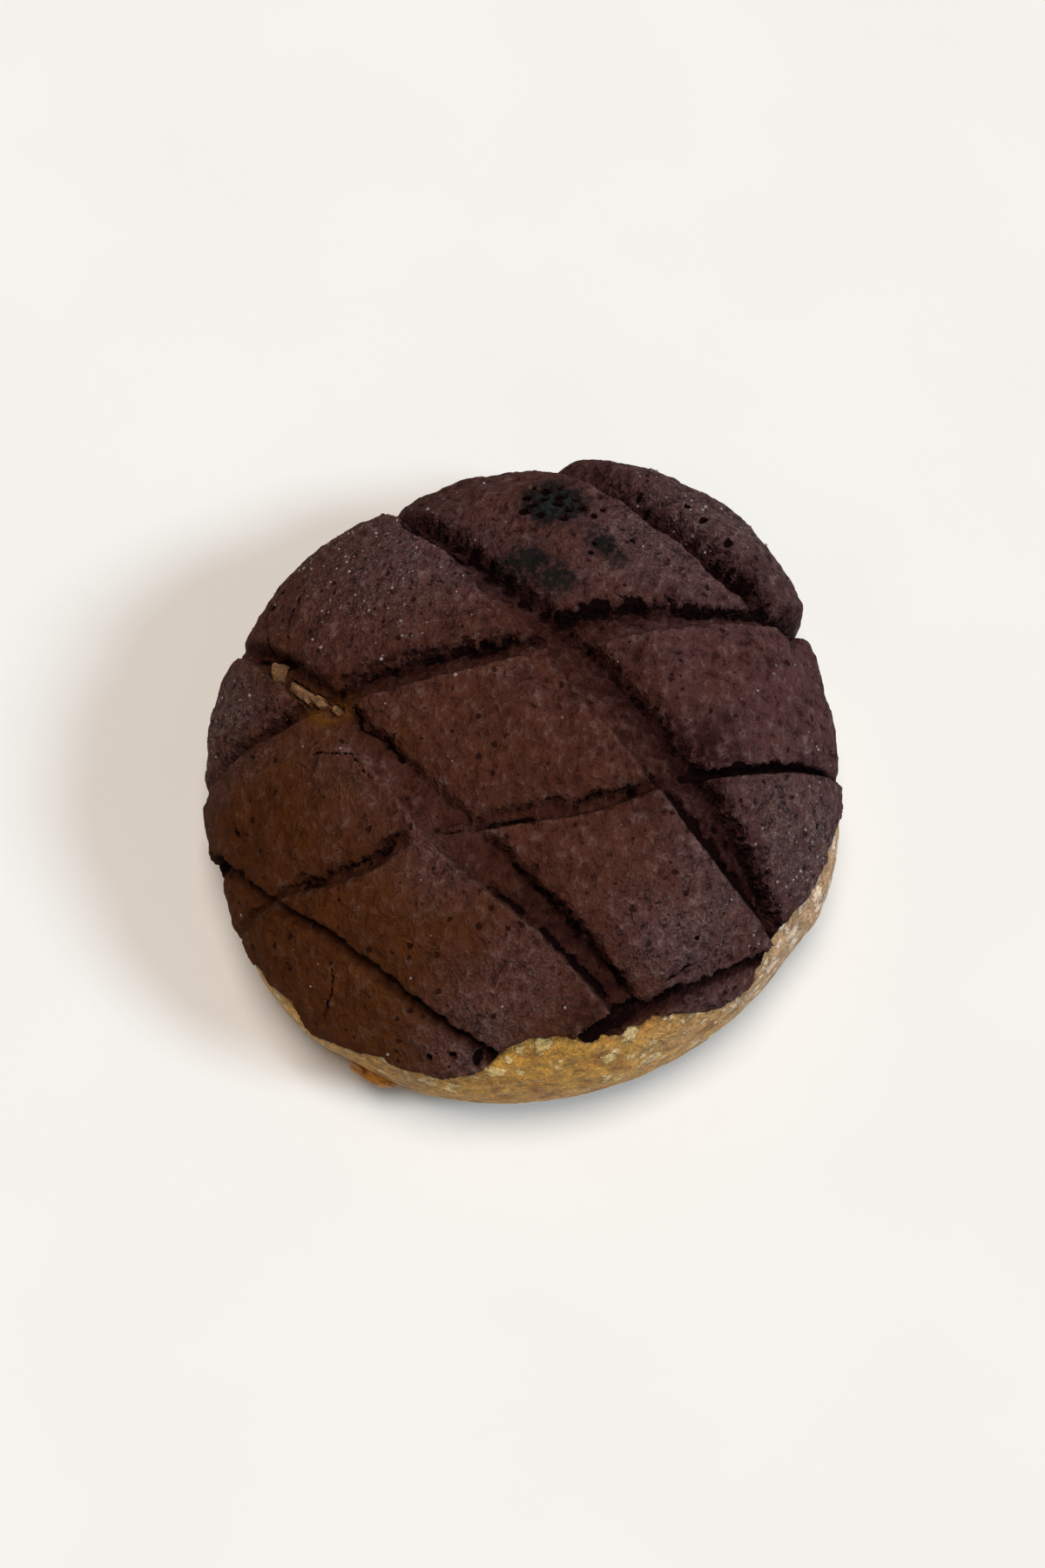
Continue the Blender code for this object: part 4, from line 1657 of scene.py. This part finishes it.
    def study(self, points: Array) -> dict[str, Array]:
        """Everything about the crust's face over points of the plain bun.

        Args:
            points: Points of the plain bun.

        Returns:
            relief, the face's height over the plain bun, and the marks that its finish reads.
        """
        plan = points[:, :2]
        wild = Ragged.over(plan)
        nothing = np.zeros(len(points))
        banks = nothing
        marks = dict.fromkeys(("cut", "floor", "split", "crumbs", "shade", "ridge_and_highlight"), nothing)
        for score in SCORES.values():
            scored = self.scored(score, plan, wild)
            banks = banks + scored["banks"]
            marks = {name: np.maximum(worst, scored[name]) for name, worst in marks.items()}
        for flaw in FLAWS:
            share = flaw.share(plan, wild)
            marks["cut"] = marks["cut"] + flaw.depth * share
            marks["split"] = np.maximum(marks["split"], share)
        by_pore = pores(points, self.pore_apart, self.pore_seed)
        marks["pores"] = smooth(*self.pore_edge, by_pore) * marks["crumbs"]
        # Where grey dust and painted sheen lie.
        dust_and_sheen = laid(DUST_AND_SHEEN, plan)
        east, north = self.warm_side
        away = (east * plan[:, 0] + north * plan[:, 1]) / self.form.waist_radius
        by_tear = np.exp(-((np.maximum(self.tear.distance(plan), 0) / self.amber_reach) ** 2))
        return {
            "relief": self.relief(points, banks, marks),
            "floor": marks["floor"],
            # Cracks, holes and pores, painted dark with shadow by the finish.
            "split": np.maximum(marks["split"], self.pore_mark * marks["pores"]),
            "crumbs": marks["crumbs"],
            # Painted shade beside the scores and in its own patches.
            "shade": np.clip(np.maximum(marks["shade"], laid(PAINTED_SHADE_PATCHES, plan)), 0, 1),
            "ridge_and_highlight": marks["ridge_and_highlight"],
            "sugary": laid(GRAIN_PATCHES, plan),
            "dust_and_sheen": dust_and_sheen * (1 - marks["floor"]) * (1 - self.shade_wipe * marks["shade"]),
            "scorch": laid(SCORCH, plan),
            "amber": np.clip(np.maximum(laid(AMBER, plan), self.amber_share * by_tear), 0, 1),
            # Warm on the lower left and cool towards the lamps: partly the dough's colour and partly
            # painted light.
            "warm": np.clip(0.5 - away * self.warm_swing - self.dust_and_sheen_chill * dust_and_sheen, 0, 1),
        }

    def face(self) -> Mesh:
        """The crust's face and hem, closed by a cone to the bun's middle.

        Returns:
            The face as a bmesh.
        """
        mesh = ball(self.form)
        points, _ = self.form.seat(coordinates_of(mesh) - self.form.middle)
        place(mesh, points)
        open_up(mesh, self.hem.clearance(points) < -self.hem_skirt - self.buried_edge)
        refine(mesh, self.form, self.longest, self.rounds)
        relax(mesh, self.form, 2)
        points, normals = self.form.seat(coordinates_of(mesh) - self.form.middle)
        place(mesh, points + normals * self.study(points)["relief"][:, None])
        rim = [edge for edge in mesh.edges if edge.is_boundary]
        cone = bmesh.ops.extrude_edge_only(mesh, edges=rim)["geom"]
        inner = [item for item in cone if isinstance(item, bmesh.types.BMVert)]
        bmesh.ops.pointmerge(mesh, verts=inner, merge_co=self.form.middle)
        return mesh

    def seat_mesh(self) -> Mesh:
        """The bread's skin and the gap round it, which the crust is hollowed with.

        Returns:
            The skin as a bmesh.
        """
        mesh = ball(self.form)
        refine(mesh, self.form, self.seat_longest, self.rounds)
        points, normals = self.form.seat(coordinates_of(mesh) - self.form.middle)
        points = points + normals * (self.gap - self.bread_inset(points))[:, None]
        points[:, 2] = np.maximum(points[:, 2], -self.gap)
        place(mesh, points)
        return mesh

    def seat_longest(self, points: Array) -> Array:
        """Longest side that a triangle of the hollow may have at points of the plain bun.

        Args:
            points: Points of the plain bun.

        Returns:
            The length at each point.
        """
        by_hem = self.seat_hem_edge + self.seat_growth * np.abs(self.hem.clearance(points))
        from_tear = np.maximum(self.tear.distance(points[:, :2]), 0)
        by_tear = self.seat_tear_edge + self.seat_growth * from_tear
        return np.minimum(np.minimum(by_hem, by_tear), self.buried_edge)

    def build(self) -> Piece:
        """Makes the crust.

        Returns:
            The piece.
        """
        crust = add_piece("cookie_crust_scored", self.face(), self.form)
        seat = add_piece("crust_hollow", self.seat_mesh(), self.form)
        cut_away(crust, seat)
        points = np.array([vertex.co for vertex in crust.data.vertices]) + (*self.form.base_centre, 0)
        marks = self.study(self.form.beneath(points)[0])
        marks.pop("relief")
        mark(crust, marks)
        crust.data.shade_smooth()
        dress(crust, self.finish.make(), "cookie_crust")
        return crust


@dataclass
class BreadBody:
    """The bread under the crust, with the bare band at its front.

    Its wrinkles are drawn out round the bun, and flour lies thickest along a line below the hem.
    """

    form: BunForm
    crust: CookieCrust
    finish: BreadFinish = field(default_factory=BreadFinish)
    shown_edge: float = 0.00075
    torn_edge: float = 0.00040
    base_edge: float = 0.0025
    hidden_edge: float = 0.0040
    hidden_from: float = 0.0020
    torn_reach: float = 0.0015
    growth: float = 0.8
    base_top: float = -0.0005
    base_rounding: float = 0.0012
    shown_blend: Span = (-0.0006, 0.0010)
    torn_blend: Span = (0.0016, 0.0030)
    base_blend: Span = (0.0006, 0.0045)
    base_wander: float = 0.0008
    drawn_out: float = 2.4
    wrinkles: Lumps = Lumps(0.0026, 1.0, 41)
    wrinkle_height: float = 0.00022
    crumb: Lumps = Lumps(0.0015, 1.0, 47)
    crumb_height: float = 0.00035
    pale_from: Span = (-82.0, -28.0)
    pale_to: Span = (100.0, 175.0)
    flour_line: float = 0.003
    flour_width: float = 0.0040
    flour: float = 0.10
    flour_by_line: float = 0.30
    flour_on_pale: float = 0.14
    flour_lumps: Lumps = Lumps(0.0060, 0.35, 43)
    most_flour: float = 0.9
    rounds: int = 40

    def longest(self, points: Array) -> Array:
        """Longest side that a triangle of the bread may have at points of the plain bun.

        Args:
            points: Points of the plain bun.

        Returns:
            The length at each point.
        """
        hidden = np.maximum(self.crust.hem.clearance(points) - self.hidden_from, 0)
        shown = self.shown_edge + self.growth * hidden
        base = np.where(points[:, 2] < self.base_top, self.base_edge, shown)
        sound = np.maximum(self.crust.tear.distance(points[:, :2]) - self.torn_reach, 0)
        return np.minimum(np.minimum(base, self.torn_edge + self.growth * sound), self.hidden_edge)

    def study(self, points: Array) -> dict[str, Array]:
        """Everything about the bread's skin over points of the plain bun.

        Args:
            points: Points of the plain bun.

        Returns:
            relief, the skin's height over the plain bun, and the marks that its finish reads.
        """
        azimuth = np.arctan2(points[:, 1], points[:, 0])
        bearing = np.degrees(azimuth)
        height = points[:, 2]
        clearance = self.crust.hem.clearance(points)
        shown = 1 - smooth(*self.shown_blend, clearance)
        girth = azimuth * self.form.waist_radius / self.drawn_out
        around = np.column_stack((girth, 0 * azimuth, height))
        wrinkles = self.wrinkles.at(around)
        pale = smooth(*self.pale_from, bearing) * (1 - smooth(*self.pale_to, bearing))
        by_line = np.exp(-(((clearance + self.flour_line) / self.flour_width) ** 2))
        flour = self.flour + self.flour_by_line * by_line + self.flour_on_pale * pale
        flour = flour + self.flour_lumps.at(around)
        torn = 1 - smooth(*self.torn_blend, self.crust.tear.distance(points[:, :2]))
        torn = torn * (height > self.form.waist_height)
        relief = -self.crust.bread_inset(points)
        relief += shown * self.wrinkle_height * wrinkles + torn * self.crumb_height * self.crumb.at(points)
        return {
            "relief": relief,
            "flour": np.clip(flour, 0, self.most_flour) * shown,
            "torn": torn,
            "pale": pale,
            "underside": 1 - smooth(*self.base_blend, height + self.base_wander * wrinkles),
        }

    def build(self) -> Piece:
        """Makes the bread.

        Returns:
            The piece.
        """
        mesh = ball(self.form)
        refine(mesh, self.form, self.longest, self.rounds)
        relax(mesh, self.form, 1)
        points, normals = self.form.seat(coordinates_of(mesh) - self.form.middle)
        marks = self.study(points)
        points = points + normals * marks.pop("relief")[:, None]
        height = points[:, 2]
        points[:, 2] = (height + np.sqrt(height**2 + self.base_rounding**2)) / 2
        points[:, 2] -= points[:, 2].min()
        place(mesh, points)
        bread = add_piece("bread_body", mesh, self.form)
        mark(bread, marks)
        dress(bread, self.finish.make(), "bread")
        return bread


@dataclass
class SugarBead:
    """The bead of burnt sugar on the side of the bread."""

    form: BunForm
    finish: BeadFinish = field(default_factory=BeadFinish)
    at: float = -117.0
    height: float = 0.0120
    size: Triple = (0.0043, 0.0018, 0.0028)
    sink: float = 0.0010
    lumps: Lumps = Lumps(1.1, 0.16, 51)

    def build(self) -> Piece:
        """Makes the bead.

        Returns:
            The piece.
        """
        mesh = bmesh.new()
        bmesh.ops.create_icosphere(mesh, subdivisions=BALL_SPLITS, radius=1)
        turn = math.radians(self.at)
        outward = np.array((math.cos(turn), math.sin(turn), 0))
        sideways = np.array((-math.sin(turn), math.cos(turn), 0))
        sphere = coordinates_of(mesh)
        lumpy = sphere * (1 + self.lumps.at(sphere))[:, None]
        wide, deep, tall = self.size
        waist = outward * self.form.waist_radius + (0, 0, self.height - self.form.waist_height)
        seat, normal = self.form.seat(waist[None, :])
        points = np.outer(lumpy[:, 0] * wide, sideways) + np.outer(lumpy[:, 1] * deep, outward)
        points[:, 2] += lumpy[:, 2] * tall
        place(mesh, points + seat - self.sink * normal)
        bead = add_piece("burnt_sugar_bead", mesh, self.form)
        dress(bead, self.finish.make(), "sugar_bead")
        return bead


@dataclass
class SugarGrains:
    """Single sugar grains baked into the crust's face."""

    form: BunForm
    crust: CookieCrust
    finish: GrainFinish = field(default_factory=GrainFinish)
    tries: int = 7000
    smallest: float = 0.00010
    largest: float = 0.00038
    bevel: float = 0.00003
    sunk: float = 0.10
    spread: Triple = (1, 1, 0.6)
    from_score: float = 0.0008
    from_hem: float = 0.0015
    most_torn: float = 0.01
    stray: float = 0.02
    thickest: float = 0.65
    rarity: int = 3
    longer: float = 0.5
    seed: int = 12

    def build(self) -> Piece:
        """Makes the grains.

        Returns:
            The piece.
        """
        rng = np.random.default_rng(self.seed)
        directions = rng.normal(size=(self.tries, 3)) * self.spread
        directions[:, 2] = np.abs(directions[:, 2])
        points, normals = self.form.seat(directions)
        plan = points[:, :2]
        bare = self.crust.score_distance(plan) > self.from_score
        bare &= self.crust.tear.share(plan) < self.most_torn
        bare &= self.crust.hem.clearance(points) > self.from_hem
        chances = self.stray + self.thickest * laid(GRAIN_PATCHES, plan) - laid(SCORCH, plan)
        kept = bare & (rng.random(self.tries) < chances)
        points, normals = points[kept], normals[kept]
        relief = self.crust.study(points)["relief"]
        mesh = bmesh.new()
        for point, normal, height in zip(points, normals, relief):
            side = self.smallest + (self.largest - self.smallest) * rng.random() ** self.rarity
            stretch = 1 + self.longer * rng.random(3)
            turn = Euler(tuple(rng.random(3) * math.tau)).to_matrix().to_4x4()
            where = Matrix.Translation(Vector(point + normal * (height - self.sunk * side)))
            bmesh.ops.create_cube(mesh, size=side, matrix=where @ turn @ Matrix.Diagonal((*stretch, 1)))
        bmesh.ops.bevel(
            mesh, geom=mesh.edges[:], offset=self.bevel, offset_type="OFFSET", segments=1,
            profile=0.5, affect="EDGES", material=-1,
        )
        grains = add_piece("sugar_grains", mesh, self.form)
        dress(grains, self.finish.make())
        return grains


@dataclass(frozen=True)
class Lamp:
    """A broad lamp, far away."""

    name: str
    colour: Colour
    strength: float
    bearing: float
    elevation: float
    spread: float

    def hang(self) -> None:
        """Adds the lamp to the scene."""
        light = bpy.data.lights.new(self.name, "SUN")
        light.energy = self.strength
        light.color = self.colour
        light.angle = math.radians(self.spread)
        lamp = bpy.data.objects.new(self.name, light)
        bearing = math.radians(self.bearing)
        rise = math.radians(self.elevation)
        level = math.cos(rise)
        towards = Vector((math.cos(bearing) * level, math.sin(bearing) * level, math.sin(rise)))
        lamp.rotation_euler = towards.to_track_quat("Z", "Y").to_euler()
        bpy.context.scene.collection.objects.link(lamp)


@dataclass
class Studio:
    """The table, the light and the camera."""

    finish: FloorFinish = field(default_factory=FloorFinish)
    table_reach: float = 3.0
    table_squares: int = 8
    fill: Colour = (0.112, 0.107, 0.101)
    lamps: tuple[Lamp, ...] = (
        Lamp("side_lamp", (0.70, 0.87, 1.0), 1.72, bearing=-14.0, elevation=41.0, spread=16.0),
        Lamp("overhead_lamp", (1.0, 0.905, 0.835), 2.05, bearing=90.0, elevation=86.5, spread=25.0),
    )
    camera_elevation: float = 72.0
    camera_distance: float = 0.400
    aim: Triple = (0.0001, -0.0024, 0.0180)
    lens: float = 56.34
    sensor: float = 36.0
    nearest: float = 0.01

    def lay_table(self) -> Piece:
        """Makes the table top.

        Returns:
            The table top.
        """
        mesh = bmesh.new()
        squares = self.table_squares
        bmesh.ops.create_grid(mesh, x_segments=squares, y_segments=squares, size=self.table_reach)
        table = add_piece("table_top", mesh)
        table.data.materials.append(self.finish.make())
        return table

    def light(self) -> None:
        """Makes the soft surrounding light and hangs the lamps."""
        world = bpy.data.worlds.new("studio")
        world.use_nodes = True
        world.node_tree.nodes["Background"].inputs["Color"].default_value = (*self.fill, 1)
        bpy.context.scene.world = world
        for lamp in self.lamps:
            lamp.hang()

    def set_camera(self) -> None:
        """Makes the camera."""
        data = bpy.data.cameras.new("camera")
        data.lens = self.lens
        data.sensor_width = self.sensor
        data.clip_start = self.nearest
        camera = bpy.data.objects.new("camera", data)
        rise = math.radians(self.camera_elevation)
        back = Vector((0.0, -math.cos(rise), math.sin(rise)))
        camera.location = Vector(self.aim) + back * self.camera_distance
        camera.rotation_euler = back.to_track_quat("Z", "Y").to_euler()
        bpy.context.scene.collection.objects.link(camera)
        bpy.context.scene.camera = camera

    def build(self) -> None:
        """Makes the studio."""
        self.lay_table()
        self.light()
        self.set_camera()
        bpy.context.scene.view_settings.view_transform = "Standard"


def main() -> None:
    """Builds the studio and the bun."""
    logging.basicConfig(level=logging.INFO, format="%(name)s: %(message)s")
    Studio().build()
    form = BunForm()
    crust = CookieCrust(form, Hem(), Tear())
    BreadBody(form, crust).build()
    SugarBead(form).build()
    crust.build()
    SugarGrains(form, crust).build()


if __name__ == "__main__":
    main()
